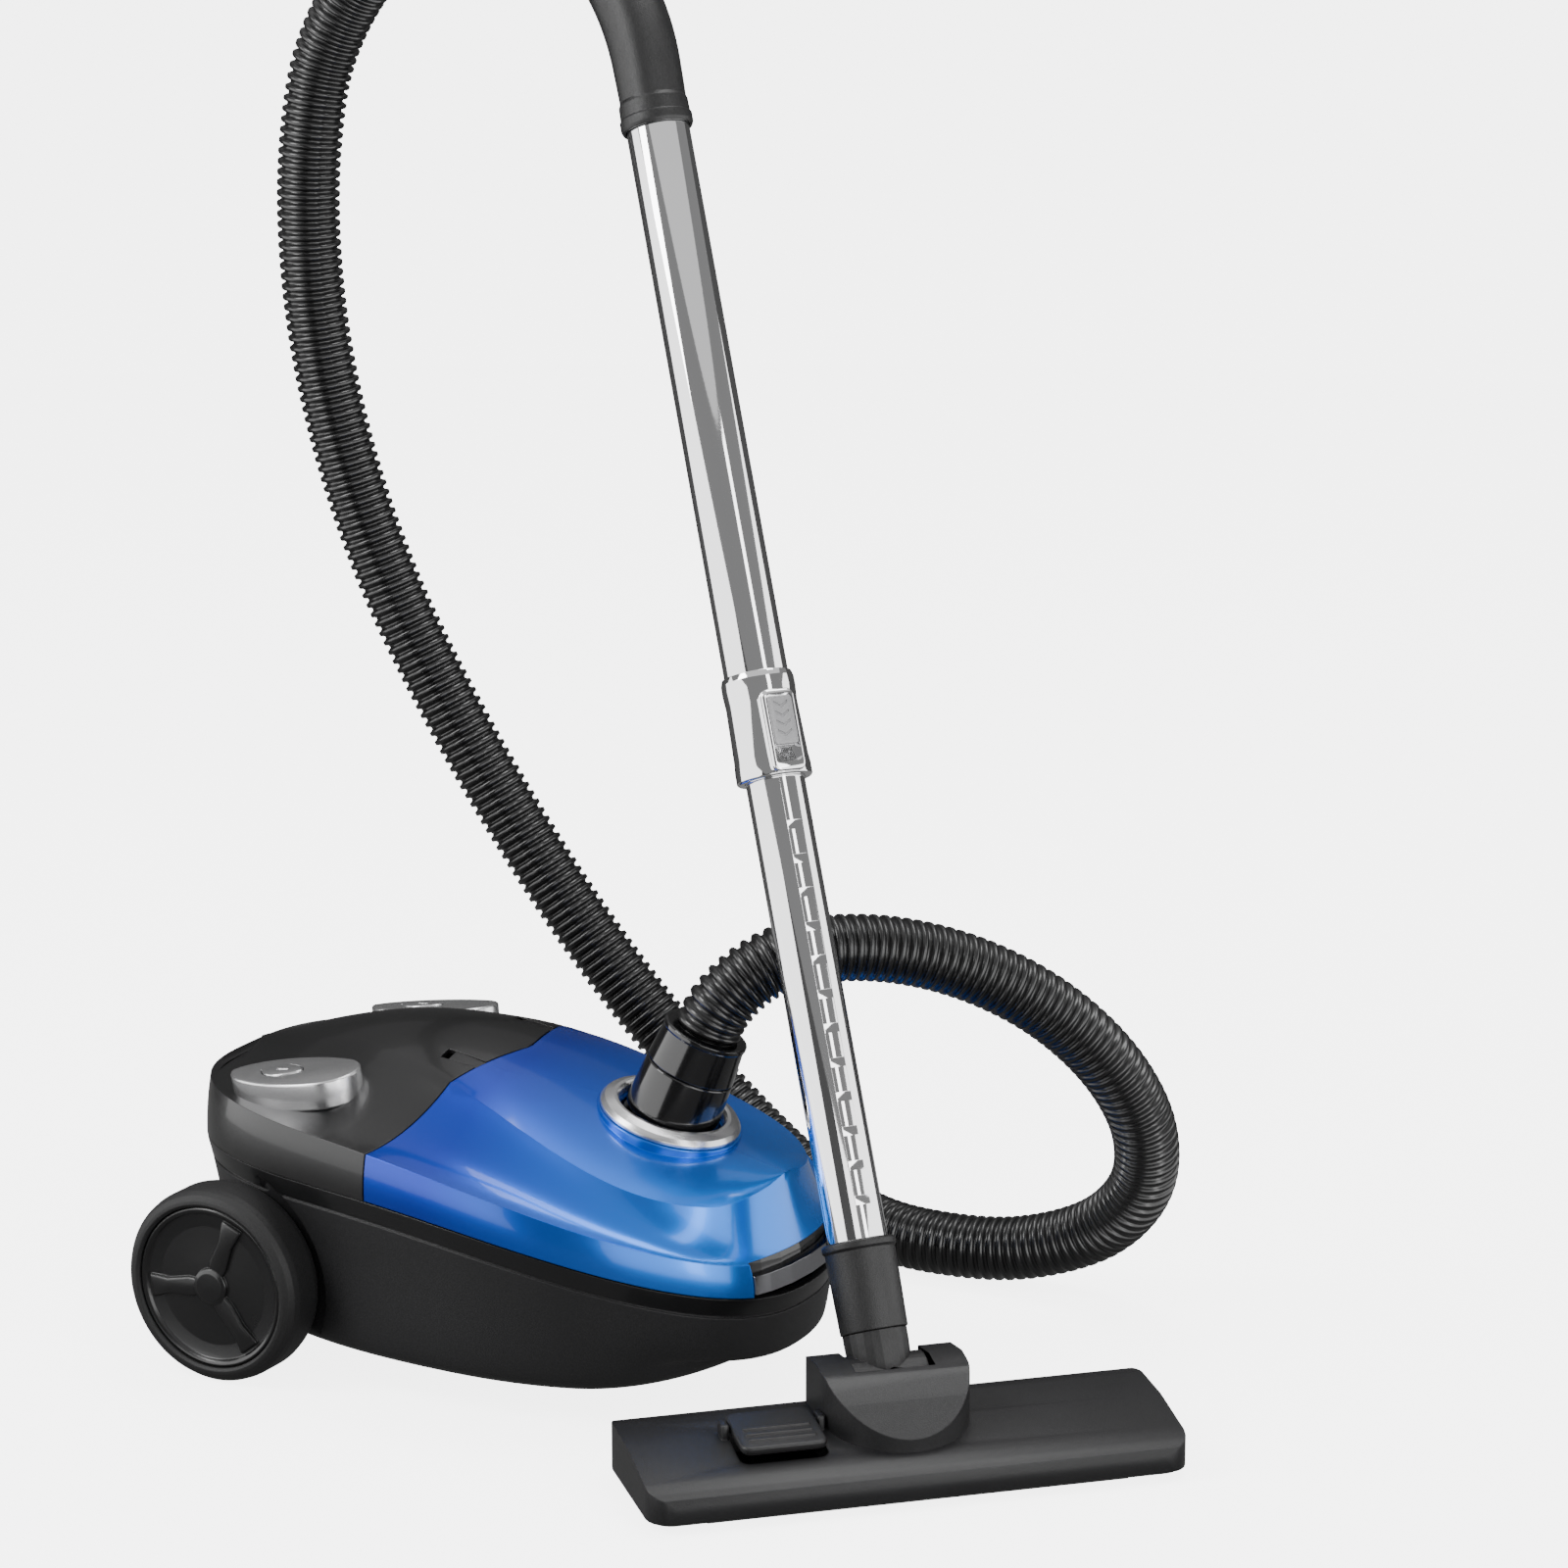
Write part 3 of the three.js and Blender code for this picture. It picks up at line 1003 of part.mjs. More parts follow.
function buildWheels() {
  for (const [side, name] of [[1, "left"], [-1, "right"]]) {
    const place = new THREE.Vector3(WHEEL_X, side * WHEEL_INNER_Y, WHEEL_R);
    const wheel = frame(place, -side * Math.PI / 2, 0, 0);
    addTo(wheel, `tyre_${name}`, tyre(), "rubber");
    addTo(wheel, `hub_${name}`, hub(), "blackSatin");
    addTo(wheel, `axle_${name}`, axle(), "steel");
  }
  const caster = frame(new THREE.Vector3(CASTER_X, 0, 0));
  addTo(caster, "caster_fork", casterFork(), "blackSatin");
  const rolling = frame(new THREE.Vector3(-CASTER_TRAIL, 0, CASTER_R), -Math.PI / 2, 0, 0, caster);
  addTo(rolling, "caster_wheel", casterWheel(), "rubber");
  addTo(rolling, "caster_axle", disc(CASTER_PIN_R, -CASTER_WIDTH / 2 - 4, CASTER_WIDTH / 2 + 4, COARSE), "steel");
}

function buildInside() {
  addTo(model, "bulkhead", bulkhead(), "darkGrey");
  addTo(model, "premotor_filter", premotorFilter(), "foam");
  addTo(model, "dust_bag", dustBag(), "paper");
  const motor = frame(new THREE.Vector3(MOTOR_REAR_X, MOTOR_Y, MOTOR_Z), 0, Math.PI / 2, 0);
  addTo(motor, "motor_housing", motorHousing(), "blackSatin");
  addTo(motor, "motor_rotor", motorRotor(), "steel");
  addTo(motor, "impeller", impeller(), "steel");
  addTo(motor, "motor_ring", motorFrontMount(), "rubber");
  addTo(motor, "motor_saddle", motorRearMount(), "rubber");
  addTo(motor, "motor_foot", motorFoot(), "rubber");
  const reel = frame(new THREE.Vector3(REEL_X, REEL_Y, REEL_Z), -Math.PI / 2, 0, 0);
  addTo(reel, "reel_drum", reelDrum(), "darkGrey");
  addTo(model, "reel_stand", reelStand(), "steel");
  addTo(model, "brake_lever", brakeLever(), "blackSatin");
}

function buildWand() {
  const wand = frame(PIVOT, 0, WAND_LEAN, WAND_HEADING);
  addTo(wand, "lower_tube", lowerTube(), "chrome");
  addTo(wand, "upper_tube", upperTube(), "chrome");
  addTo(wand, "tube_clamp", tubeClamp(), "chrome");
  addTo(wand, "clamp_slider", clampSlider(), "silver");
  const handle = frame(new THREE.Vector3(), 0, 0, HANDLE_TURN, wand);
  addTo(handle, "handle_grip", handleGrip(), "blackSatin");
  const suction = frame(new THREE.Vector3(), 0, 0, 0, handle);
  suctionMatrix().decompose(suction.position, suction.quaternion, suction.scale);
  addTo(suction, "suction_slider", suctionSlider(), "blackGloss");
  return wand;
}

function neckSleeve() {
  return turned([
    [LOWER_R + GAP, SLEEVE_Z0 + 11], [LOWER_R + GAP, SLEEVE_Z1], [SLEEVE_R + 1.2, SLEEVE_Z1],
    [SLEEVE_R + 1.2, SLEEVE_Z1 - 4], [SLEEVE_R, SLEEVE_Z1 - 5], [SLEEVE_R - 0.6, SLEEVE_Z0],
    [13.6 + SLIDE_GAP, SLEEVE_Z0], [13.6 + SLIDE_GAP, SLEEVE_Z0 + 11], [LOWER_R + GAP, SLEEVE_Z0 + 11],
  ], MEDIUM);
}

// Elbow: a drum across the nozzle and a stub up the wand, bored through for air
function elbow(wand) {
  wand.updateMatrixWorld();
  const toWand = wand.matrixWorld.clone().invert();
  const nozzleAxis = new THREE.Vector3(Math.cos(NOZZLE_YAW), Math.sin(NOZZLE_YAW), 0).transformDirection(toWand);
  const turn = new THREE.Quaternion().setFromUnitVectors(new THREE.Vector3(0, 0, 1), nozzleAxis);
  const turnMatrix = new THREE.Matrix4().makeRotationFromQuaternion(turn);
  const drum = moved(disc(DRUM_R, -DRUM_HALF, DRUM_HALF), turnMatrix);
  const stub = turned([[0, 0], [16.4, 0], [17.4, SLEEVE_Z0 - 6], [17.4, SLEEVE_Z0 - GAP], [13.6, SLEEVE_Z0 - GAP],
    [13.6, SLEEVE_Z0 + 9], [0, SLEEVE_Z0 + 9]], MEDIUM);
  const bore = disc(11.5, -4, SLEEVE_Z0 + 10, COARSE);
  const inlet = moved(disc(10, -2, DRUM_R + 4, COARSE), new THREE.Matrix4().makeRotationX(Math.PI / 2));
  return cut(join(drum, stub), bore, moved(inlet, new THREE.Matrix4().makeRotationZ(-Math.PI / 2)));
}

function buildNozzle(wand) {
  addTo(wand, "neck_sleeve", neckSleeve(), "blackSatin");
  addTo(wand, "elbow", elbow(wand), "blackSatin");
  const nozzle = frame(PIVOT, 0, 0, NOZZLE_YAW);
  addTo(nozzle, "nozzle_body", nozzleBody(), "darkGrey");
  addTo(nozzle, "nozzle_hood", hood(), "darkGrey");
  addTo(nozzle, "sole_plate", solePlate(), "blackSatin");
  addTo(nozzle, "brush_strip", brushStrip(), "rubber");
  addTo(nozzle, "pedal", pedal(), "darkGrey");
  for (const [side, name] of [[1, "left"], [-1, "right"]]) {
    const place = new THREE.Vector3(side * NOZZLE_WHEEL_X, NOZZLE_WHEEL_Y, FLOOR + NOZZLE_WHEEL_R);
    const wheel = frame(place, 0, Math.PI / 2, 0, nozzle);
    addTo(wheel, `nozzle_wheel_${name}`, nozzleWheel(), "rubber");
  }
}

function buildHose() {
  const curve = new THREE.CatmullRomCurve3(HOSE_POINTS.map((p) => new THREE.Vector3(...p)));
  addTo(model, "hose", sweptTube(curve, HOSE_R, 10, 72), "blackGloss");
}

buildCanister();
buildInlet();
buildPads();
buildWheels();
buildInside();
buildNozzle(buildWand());
buildHose();

export default model;
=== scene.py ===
import bpy
import bmesh
import json
import math
from mathutils import Matrix, Vector

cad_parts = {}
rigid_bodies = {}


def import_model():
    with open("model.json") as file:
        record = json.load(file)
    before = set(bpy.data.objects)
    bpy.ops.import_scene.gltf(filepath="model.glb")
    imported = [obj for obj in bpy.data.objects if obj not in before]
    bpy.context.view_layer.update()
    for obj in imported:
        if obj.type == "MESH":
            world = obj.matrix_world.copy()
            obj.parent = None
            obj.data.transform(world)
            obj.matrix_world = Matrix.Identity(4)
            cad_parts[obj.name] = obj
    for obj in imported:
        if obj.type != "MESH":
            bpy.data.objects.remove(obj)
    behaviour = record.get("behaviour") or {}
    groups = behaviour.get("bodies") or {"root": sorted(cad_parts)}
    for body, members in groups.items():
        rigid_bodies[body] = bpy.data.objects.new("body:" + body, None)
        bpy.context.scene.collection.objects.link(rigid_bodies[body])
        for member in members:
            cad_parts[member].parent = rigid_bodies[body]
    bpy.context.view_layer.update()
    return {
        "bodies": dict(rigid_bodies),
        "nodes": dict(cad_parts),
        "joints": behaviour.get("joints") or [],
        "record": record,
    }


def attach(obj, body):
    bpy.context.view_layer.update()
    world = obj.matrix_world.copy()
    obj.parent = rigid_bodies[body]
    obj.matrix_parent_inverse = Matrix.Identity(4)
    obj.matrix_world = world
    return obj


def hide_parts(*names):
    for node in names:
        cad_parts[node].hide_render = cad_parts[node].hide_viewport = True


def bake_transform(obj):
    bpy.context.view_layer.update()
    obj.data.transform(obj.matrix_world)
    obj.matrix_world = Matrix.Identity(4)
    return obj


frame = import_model()
MM = 0.001
AXIS_R = 0.001      # stands for the axis in a turned profile, in mm
ORIGIN = Vector((118, -10, 0))


def place(x, y, z):
    """A point of the part in metres, given in millimetres before the move to its origin."""
    return (Vector((x, y, z)) - ORIGIN) * MM


def ease(a, b, x):
    """0 below a, 1 above b and a smooth rise between."""
    t = min(1, max(0, (x - a) / (b - a)))
    return t * t * (3 - 2 * t)


# ------------------------------------------------------------ camera
AZIMUTH = math.radians(28.5)
ELEVATION = math.radians(14.2)
camera_data = bpy.data.cameras.new("camera")
camera_data.sensor_width = 36
camera_data.lens = 117
camera = bpy.data.objects.new("camera", camera_data)
camera.location = place(1424.16, -2303.15, 1007.51)
camera.rotation_euler = (math.pi / 2 - ELEVATION, 0, AZIMUTH)
bpy.context.collection.objects.link(camera)
bpy.context.scene.camera = camera


# ------------------------------------------------------------ mesh helpers
def mesh_object(name, verts, faces, sharp=35):
    """Object from points in metres; edges that bend more than sharp degrees stay crisp."""
    mesh = bpy.data.meshes.new(name)
    mesh.from_pydata([tuple(v) for v in verts], [], faces)
    mesh.validate()
    obj = bpy.data.objects.new(name, mesh)
    bpy.context.collection.objects.link(obj)
    shade(obj, sharp)
    return obj


def shade(obj, sharp=35):
    """Smooth shading that breaks at edges of more than sharp degrees."""
    bm = bmesh.new()
    bm.from_mesh(obj.data)
    bmesh.ops.remove_doubles(bm, verts=bm.verts, dist=1e-7)
    bmesh.ops.recalc_face_normals(bm, faces=bm.faces)
    for f in bm.faces:
        f.smooth = True
    limit = math.radians(sharp)
    for e in bm.edges:
        e.smooth = len(e.link_faces) == 2 and e.calc_face_angle(0) < limit
    bm.to_mesh(obj.data)
    bm.free()


def grid(name, rows, closed_rows=False, closed_ring=True, caps=False, sharp=35):
    """A skin through rows of points; each row is a ring unless closed_ring is off."""
    n = len(rows[0])
    verts = [p for row in rows for p in row]
    faces = []
    last = len(rows) if closed_rows else len(rows) - 1
    for i in range(last):
        j = (i + 1) % len(rows)
        for k in range(n if closed_ring else n - 1):
            m = (k + 1) % n
            faces.append((i * n + k, i * n + m, j * n + m, j * n + k))
    if caps:
        faces.append(tuple(range(n)))
        faces.append(tuple((len(rows) - 1) * n + k for k in range(n)))
    return mesh_object(name, verts, faces, sharp)


def fillet(profile, radius, steps=4):
    """Rounds the corners of a closed or open profile of (r, z)."""
    closed = profile[0] == profile[-1]
    pts = [Vector(p) for p in (profile[:-1] if closed else profile)]
    out = []
    n = len(pts)
    for i, p in enumerate(pts):
        if not closed and i in (0, n - 1):
            out.append(p)
            continue
        a = pts[i - 1] - p
        b = pts[(i + 1) % n] - p
        if a.length < 1e-9 or b.length < 1e-9:
            out.append(p)
            continue
        turn = math.pi - a.angle(b)
        if turn < 0.15:
            out.append(p)
            continue
        reach = min(radius * math.tan(turn / 2), a.length * 0.45, b.length * 0.45)
        p0 = p + a.normalized() * reach
        p1 = p + b.normalized() * reach
        for k in range(steps + 1):
            t = k / steps
            out.append(p0 * (1 - t) ** 2 + p * 2 * t * (1 - t) + p1 * t * t)
    if closed:
        out.append(out[0])
    return [(q.x, q.y) for q in out]


def lathe(name, profile, matrix, segments=96, radius=0.6, sharp=40):
    """Turned piece about the matrix's Z axis; a profile of (r, z) in mm, corners of that radius."""
    pts = fillet(profile, radius)
    closed = pts[0] == pts[-1]
    if closed:
        pts = pts[:-1]
    rows = []
    for r, z in pts:
        r = max(r, AXIS_R)
        ring = []
        for k in range(segments):
            a = 2 * math.pi * k / segments
            ring.append(matrix @ (Vector((r * math.cos(a), r * math.sin(a), z)) * MM))
        rows.append(ring)
    return grid(name, rows, closed_rows=closed, caps=not closed, sharp=sharp)


def prism(name, outline, z0, z1, matrix, bevel=0.0, segments=3):
    """Extruded outline in millimetres along local Z, edges rounded by a bevel."""
    n = len(outline)
    verts = [matrix @ (Vector((x, y, z0)) * MM) for x, y in outline]
    verts += [matrix @ (Vector((x, y, z1)) * MM) for x, y in outline]
    faces = [tuple(reversed(range(n))), tuple(range(n, 2 * n))]
    faces += [(k, (k + 1) % n, n + (k + 1) % n, n + k) for k in range(n)]
    obj = mesh_object(name, verts, faces, 30)
    if bevel:
        add_bevel(obj, bevel, segments)
    return obj


def add_bevel(obj, width, segments=3, angle=40):
    """Rounds the edges that bend more than the angle, width in mm."""
    mod = obj.modifiers.new("edge", "BEVEL")
    mod.width = width * MM
    mod.segments = segments
    mod.limit_method = "ANGLE"
    mod.angle_limit = math.radians(angle)
    mod.harden_normals = False
    bake(obj)
    shade(obj, 50)


def bake(obj):
    """Applies the object's modifiers to its mesh."""
    depsgraph = bpy.context.evaluated_depsgraph_get()
    mesh = bpy.data.meshes.new_from_object(obj.evaluated_get(depsgraph))
    obj.modifiers.clear()
    old = obj.data
    obj.data = mesh
    bpy.data.meshes.remove(old)


def carve(obj, cutters, sharp=35):
    """cutters is a list of (object, operation); each cutter is used up."""
    for cutter, operation in cutters:
        mod = obj.modifiers.new("cut", "BOOLEAN")
        mod.solver = "EXACT"
        mod.operation = operation
        mod.object = cutter
    bake(obj)
    for cutter, _ in cutters:
        bpy.data.objects.remove(cutter)
    shade(obj, sharp)
    return obj


def joined(name, objs, second=()):
    """One object out of many; those listed in second get material slot 1."""
    bm = bmesh.new()
    for o in objs:
        first = len(bm.faces)
        bm.from_mesh(o.data)
        bm.faces.ensure_lookup_table()
        for f in bm.faces[first:]:
            f.material_index = 1 if o in second else 0
    mesh = bpy.data.meshes.new(name)
    bm.to_mesh(mesh)
    bm.free()
    for o in objs:
        bpy.data.objects.remove(o)
    obj = bpy.data.objects.new(name, mesh)
    bpy.context.collection.objects.link(obj)
    return obj


def leaning(position, heading, tilt=0.0):
    """Frame at the position whose Z axis leans by the tilt towards the heading."""
    turned = Matrix.Rotation(math.radians(heading), 4, "Z") @ Matrix.Rotation(math.radians(tilt), 4, "Y")
    return Matrix.Translation(position) @ turned


def across(x, z):
    """Frame at X and Z whose Z axis points along +Y of the part."""
    return Matrix.Translation(place(x, 0, z)) @ Matrix.Rotation(-math.pi / 2, 4, "X")


# ------------------------------------------------------------ materials
def material(name, colour, rough=0.4, metal=0.0, coat=0.0, bump=0.0, grain=900, mottle=0.06,
             rough_spread=0.06, bevel=0.0):
    """Mottled colour, uneven roughness and a fine grain; bevel rounds edges in the shading, in mm."""
    mat = bpy.data.materials.new(name)
    mat.use_nodes = True
    nt = mat.node_tree
    shader = nt.nodes["Principled BSDF"]
    coords = nt.nodes.new("ShaderNodeTexCoord")
    broad = nt.nodes.new("ShaderNodeTexNoise")
    broad.inputs["Scale"].default_value = 14
    broad.inputs["Detail"].default_value = 6
    nt.links.new(coords.outputs["Object"], broad.inputs["Vector"])
    fine = nt.nodes.new("ShaderNodeTexNoise")
    fine.inputs["Scale"].default_value = grain
    fine.inputs["Detail"].default_value = 3
    nt.links.new(coords.outputs["Object"], fine.inputs["Vector"])
    ramp = nt.nodes.new("ShaderNodeValToRGB")
    low = [max(0, c * (1 - mottle)) for c in colour]
    high = [min(1, c * (1 + mottle)) for c in colour]
    ramp.color_ramp.elements[0].position = 0.3
    ramp.color_ramp.elements[0].color = (*low, 1)
    ramp.color_ramp.elements[1].position = 0.7
    ramp.color_ramp.elements[1].color = (*high, 1)
    nt.links.new(broad.outputs["Fac"], ramp.inputs["Fac"])
    nt.links.new(ramp.outputs["Color"], shader.inputs["Base Color"])
    spread = nt.nodes.new("ShaderNodeMapRange")
    spread.inputs["To Min"].default_value = max(0.01, rough - rough_spread)
    spread.inputs["To Max"].default_value = min(1, rough + rough_spread)
    nt.links.new(broad.outputs["Fac"], spread.inputs["Value"])
    nt.links.new(spread.outputs["Result"], shader.inputs["Roughness"])
    shader.inputs["Metallic"].default_value = metal
    shader.inputs["Coat Weight"].default_value = coat
    shader.inputs["Coat Roughness"].default_value = 0.06
    normal = None
    if bevel:
        edge = nt.nodes.new("ShaderNodeBevel")
        edge.samples = 4
        edge.inputs["Radius"].default_value = bevel * MM
        normal = edge.outputs["Normal"]
    if bump:
        dent = nt.nodes.new("ShaderNodeBump")
        dent.inputs["Strength"].default_value = bump
        dent.inputs["Distance"].default_value = 0.0004
        nt.links.new(fine.outputs["Fac"], dent.inputs["Height"])
        if normal:
            nt.links.new(normal, dent.inputs["Normal"])
        normal = dent.outputs["Normal"]
    if normal:
        nt.links.new(normal, shader.inputs["Normal"])
    return mat


def lid_material():
    """Metallic blue lacquer with a painted highlight that lightens it to cyan towards the raised front."""
    mat = material("lid_blue", (0.0005, 0.035, 0.45), 0.25, 0.6, 0.45, 0.02, 2500, 0.05, 0.03, 0.8)
    nt = mat.node_tree
    shader = nt.nodes["Principled BSDF"]
    ramp = [n for n in nt.nodes if n.type == "VALTORGB"][0]
    coords = [n for n in nt.nodes if n.type == "TEX_COORD"][0]
    split = nt.nodes.new("ShaderNodeSeparateXYZ")
    nt.links.new(coords.outputs["Object"], split.inputs["Vector"])
    along = nt.nodes.new("ShaderNodeMapRange")
    along.inputs["From Min"].default_value = place(20, 0, 0).x
    along.inputs["From Max"].default_value = place(175, 0, 0).x
    nt.links.new(split.outputs["X"], along.inputs["Value"])
    # painted highlight: the colour blends from navy to bright cyan along X towards the raised front
    painted_highlight = nt.nodes.new("ShaderNodeMix")
    painted_highlight.data_type = "RGBA"
    painted_highlight.inputs["B"].default_value = (0.002, 0.2, 0.82, 1)
    nt.links.new(along.outputs["Result"], painted_highlight.inputs["Factor"])
    nt.links.new(ramp.outputs["Color"], painted_highlight.inputs["A"])
    nt.links.new(painted_highlight.outputs["Result"], shader.inputs["Base Color"])
    return mat


BLUE = lid_material()
SATIN = material("cover_black", (0.006, 0.006, 0.0065), 0.3, 0, 0.25, 0.05, 1800, 0.1, 0.05, 0.8)
GREY = material("base_grey", (0.014, 0.014, 0.015), 0.46, 0, 0, 0.25, 1500, 0.1, 0.05, 0.8)
NOZZLE_GREY = material("nozzle_grey", (0.012, 0.012, 0.013), 0.42, 0, 0, 0.22, 1600, 0.1, 0.05, 0.8)
GLOSS = material("gloss_black", (0.004, 0.004, 0.0045), 0.16, 0, 0.5, 0.02, 1500, 0.1, 0.04, 0.5)
HOSE = material("hose_black", (0.006, 0.006, 0.0065), 0.3, 0, 0.3, 0.05, 1200, 0.12, 0.06)
RUBBER = material("rubber", (0.009, 0.009, 0.0095), 0.62, 0, 0, 0.35, 900, 0.15, 0.08)
SILVER = material("silver_paint", (0.72, 0.72, 0.73), 0.24, 0.9, 0.3, 0.04, 2500, 0.05, 0.04, 0.5)
CHROME = material("chrome", (0.93, 0.93, 0.94), 0.05, 1, 0, 0.015, 300, 0.01, 0.02)
DARK_CHROME = material("dark_chrome", (0.35, 0.35, 0.37), 0.12, 1, 0, 0.02, 400, 0.05, 0.04, 0.4)
STEEL = material("steel", (0.55, 0.55, 0.57), 0.3, 1, 0, 0.1, 1500, 0.06, 0.08, 0.3)
PAPER = material("bag_paper", (0.62, 0.5, 0.33), 0.85, 0, 0, 0.6, 500, 0.12, 0.08)
FOAM = material("foam", (0.06, 0.062, 0.066), 0.9, 0, 0, 1.0, 350, 0.3, 0.05)
INNER = material("inner_black", (0.02, 0.02, 0.022), 0.5, 0, 0, 0.2, 1200, 0.15, 0.08, 0.5)
GRIP = material("grip_grey", (0.01, 0.01, 0.0105), 0.42, 0, 0, 0.45, 2200, 0.12, 0.05, 0.6)
RELEASE = material("release_grey", (0.42, 0.42, 0.43), 0.38, 0.2, 0.1, 0.1, 1500, 0.06, 0.05, 0.4)


def paint(obj, *mats):
    """Puts the materials in the object's slots and keeps its faces' slot numbers."""
    numbers = [p.material_index for p in obj.data.polygons]
    obj.data.materials.clear()
    for mat in mats:
        obj.data.materials.append(mat)
    for p, number in zip(obj.data.polygons, numbers):
        p.material_index = min(number, len(mats) - 1)
    return obj


def piece(obj, mats, body, node):
    """A finished piece that rides a body and stands for one node of the part."""
    paint(obj, *(mats if isinstance(mats, tuple) else (mats,)))
    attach(obj, body)
    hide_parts(node)


# ------------------------------------------------------------ hose
HOSE_ROUTE = [
    (122.33, 6.75, 198.82), (123.4, 7.1, 201.5), (128.4, 9.6, 211.8), (136.1, 15.7, 222.7),
    (144.8, 23.8, 231.2), (154.3, 33.5, 237), (168.5, 50, 239.8), (197, 80, 236), (230, 113, 221),
    (263, 143, 195), (289, 170, 158), (299, 193, 117), (290, 211, 77), (261, 221, 44), (214, 219, 24),
    (164, 214, 19.5), (113, 218, 22.5), (62, 228, 41), (12, 233, 74), (-36, 229, 119.5),
    (-82, 223, 174), (-127, 217, 237), (-168, 210, 305), (-203, 204, 374), (-228, 198, 446),
    (-243, 193, 519), (-247, 189, 588), (-243.5, 188.5, 645), (-235.8, 192.7, 690),
    (-212.8, 194.8, 732), (-177.4, 191.9, 764.1), (-133.7, 184.4, 782.5), (-91.8, 174.4, 785.4),
    (-58.2, 164.55, 777.85), (-54.51, 163.33, 776.3),
]
HOSE_R = 18.6
RIB_DEPTH = 2.6
RIB_PITCH = 6.0


def spline(points, per=24):
    """Centripetal spline through the points."""
    pts = [Vector(p) for p in points]
    pts = [pts[0] * 2 - pts[1]] + pts + [pts[-1] * 2 - pts[-2]]
    out = []
    for i in range(1, len(pts) - 2):
        p0, p1, p2, p3 = pts[i - 1:i + 3]
        d0 = max((p1 - p0).length ** 0.5, 1e-4)
        d1 = max((p2 - p1).length ** 0.5, 1e-4)
        d2 = max((p3 - p2).length ** 0.5, 1e-4)
        t1 = ((p1 - p0) / d0 - (p2 - p0) / (d0 + d1) + (p2 - p1) / d1) * d1
        t2 = ((p2 - p1) / d1 - (p3 - p1) / (d1 + d2) + (p3 - p2) / d2) * d1
        for k in range(per):
            t = k / per
            a = -3 * p1 + 3 * p2 - 2 * t1 - t2
            b = 2 * p1 - 2 * p2 + t1 + t2
            out.append(p1 + t1 * t + a * t * t + b * t ** 3)
    out.append(pts[-2])
    return out


def even(points, step):
    """Points at an even spacing near the step along a polyline."""
    runs = [0.0]
    for a, b in zip(points, points[1:]):
        runs.append(runs[-1] + (b - a).length)
    total = runs[-1]
    count = max(2, round(total / step))
    out, i = [], 0
    for k in range(count + 1):
        s = total * k / count
        while i < len(runs) - 2 and runs[i + 1] < s:
            i += 1
        f = (s - runs[i]) / max(1e-9, runs[i + 1] - runs[i])
        out.append(points[i].lerp(points[i + 1], min(1, f)))
    return out, total


def tube_rows(path, radii, sides):
    """Rings of points round a path in millimetres, with no twist."""
    rows = []
    side = None
    for i, p in enumerate(path):
        a = path[max(0, i - 1)]
        b = path[min(len(path) - 1, i + 1)]
        t = (b - a).normalized()
        if side is None:
            side = t.orthogonal().normalized()
        side = (side - t * side.dot(t)).normalized()
        other = t.cross(side)
        r = radii[i]
        ring = []
        for k in range(sides):
            ang = 2 * math.pi * k / sides
            ring.append((p + (side * math.cos(ang) + other * math.sin(ang)) * r) * MM)
        rows.append(ring)
    return rows


def build_hose():
    """Ribbed hose that follows the lid near the cuff and the canister beyond."""
    path, total = even(spline([Vector(p) - ORIGIN for p in HOSE_ROUTE]), RIB_PITCH / 8)
    ribs = round(total / RIB_PITCH)
    radii = []
    n = len(path)
    for i in range(n):
        phase = (i / (n - 1)) * ribs
        wave = phase - math.floor(phase)
        crest = ease(0.12, 0.34, wave) * (1 - ease(0.66, 0.88, wave))
        radii.append(HOSE_R - RIB_DEPTH * (1 - crest))
    rows = tube_rows(path, radii, 40)
    obj = grid("hose_skin", rows, caps=True, sharp=70)
    paint(obj, HOSE)
    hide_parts("hose")
    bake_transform(obj)


build_hose()

# ------------------------------------------------------------ canister skin
REAR_X = -176
FRONT_X = 190
WIDEST_X = 25
HALF_WIDTH = 122
REAR_BLUNT = 2.9          # superellipse powers of the two ends
FRONT_BLUNT = 2.25
FLOOR_CLEARANCE = 20
CHIN_START_X = 95
CHIN_RISE = 18
SEAM_Z = 117
SEAM_BEND_X = -70
SEAM_DROP = 49
SKIRT_REAR = 34
SKIRT_FRONT = 17
CREST_X = -45
CREST_Z = 184
NOSE_Z = 118
CREST_SPREAD = 161
PLATEAU_REAR_X = -165
PLATEAU_FRONT_X = 175
PLATEAU_WIDTH = 109
PLATEAU_CROWN = 10
PLATEAU_BLEND = 50
SHOULDER_DIP = 5
WALL = 2.6
WHEEL = (-112, 55)        # X and Z of the rear axle
WELL_R = 59
BOSS_R = 36
CASTER_X = 112
BAND = 12                 # height of the rim band under the seam


def outline_point(t, k):
    c, s = math.cos(t), math.sin(t)
    power = FRONT_BLUNT if c > 0 else REAR_BLUNT
    reach = FRONT_X - WIDEST_X if c > 0 else WIDEST_X - REAR_X
    x = WIDEST_X + math.copysign(reach * abs(c) ** (2 / power), c)
    taper = 10 * max(0, (WIDEST_X - x) / 150) ** 1.5
    y = (HALF_WIDTH - taper) * math.copysign(abs(s) ** (2 / power), s)
    return WIDEST_X + (x - WIDEST_X) * k, y * k


def seam_z(x):
    return SEAM_Z - SEAM_DROP * (max(0, x - SEAM_BEND_X) / (FRONT_X - SEAM_BEND_X)) ** 2


def skirt_height(x):
    return SKIRT_REAR + (SKIRT_FRONT - SKIRT_REAR) * min(1, max(0, (x - REAR_X) / (FRONT_X - REAR_X)))


def crown_z(x):
    return NOSE_Z + (CREST_Z - NOSE_Z) * math.exp(-((x - CREST_X) / CREST_SPREAD) ** 2)


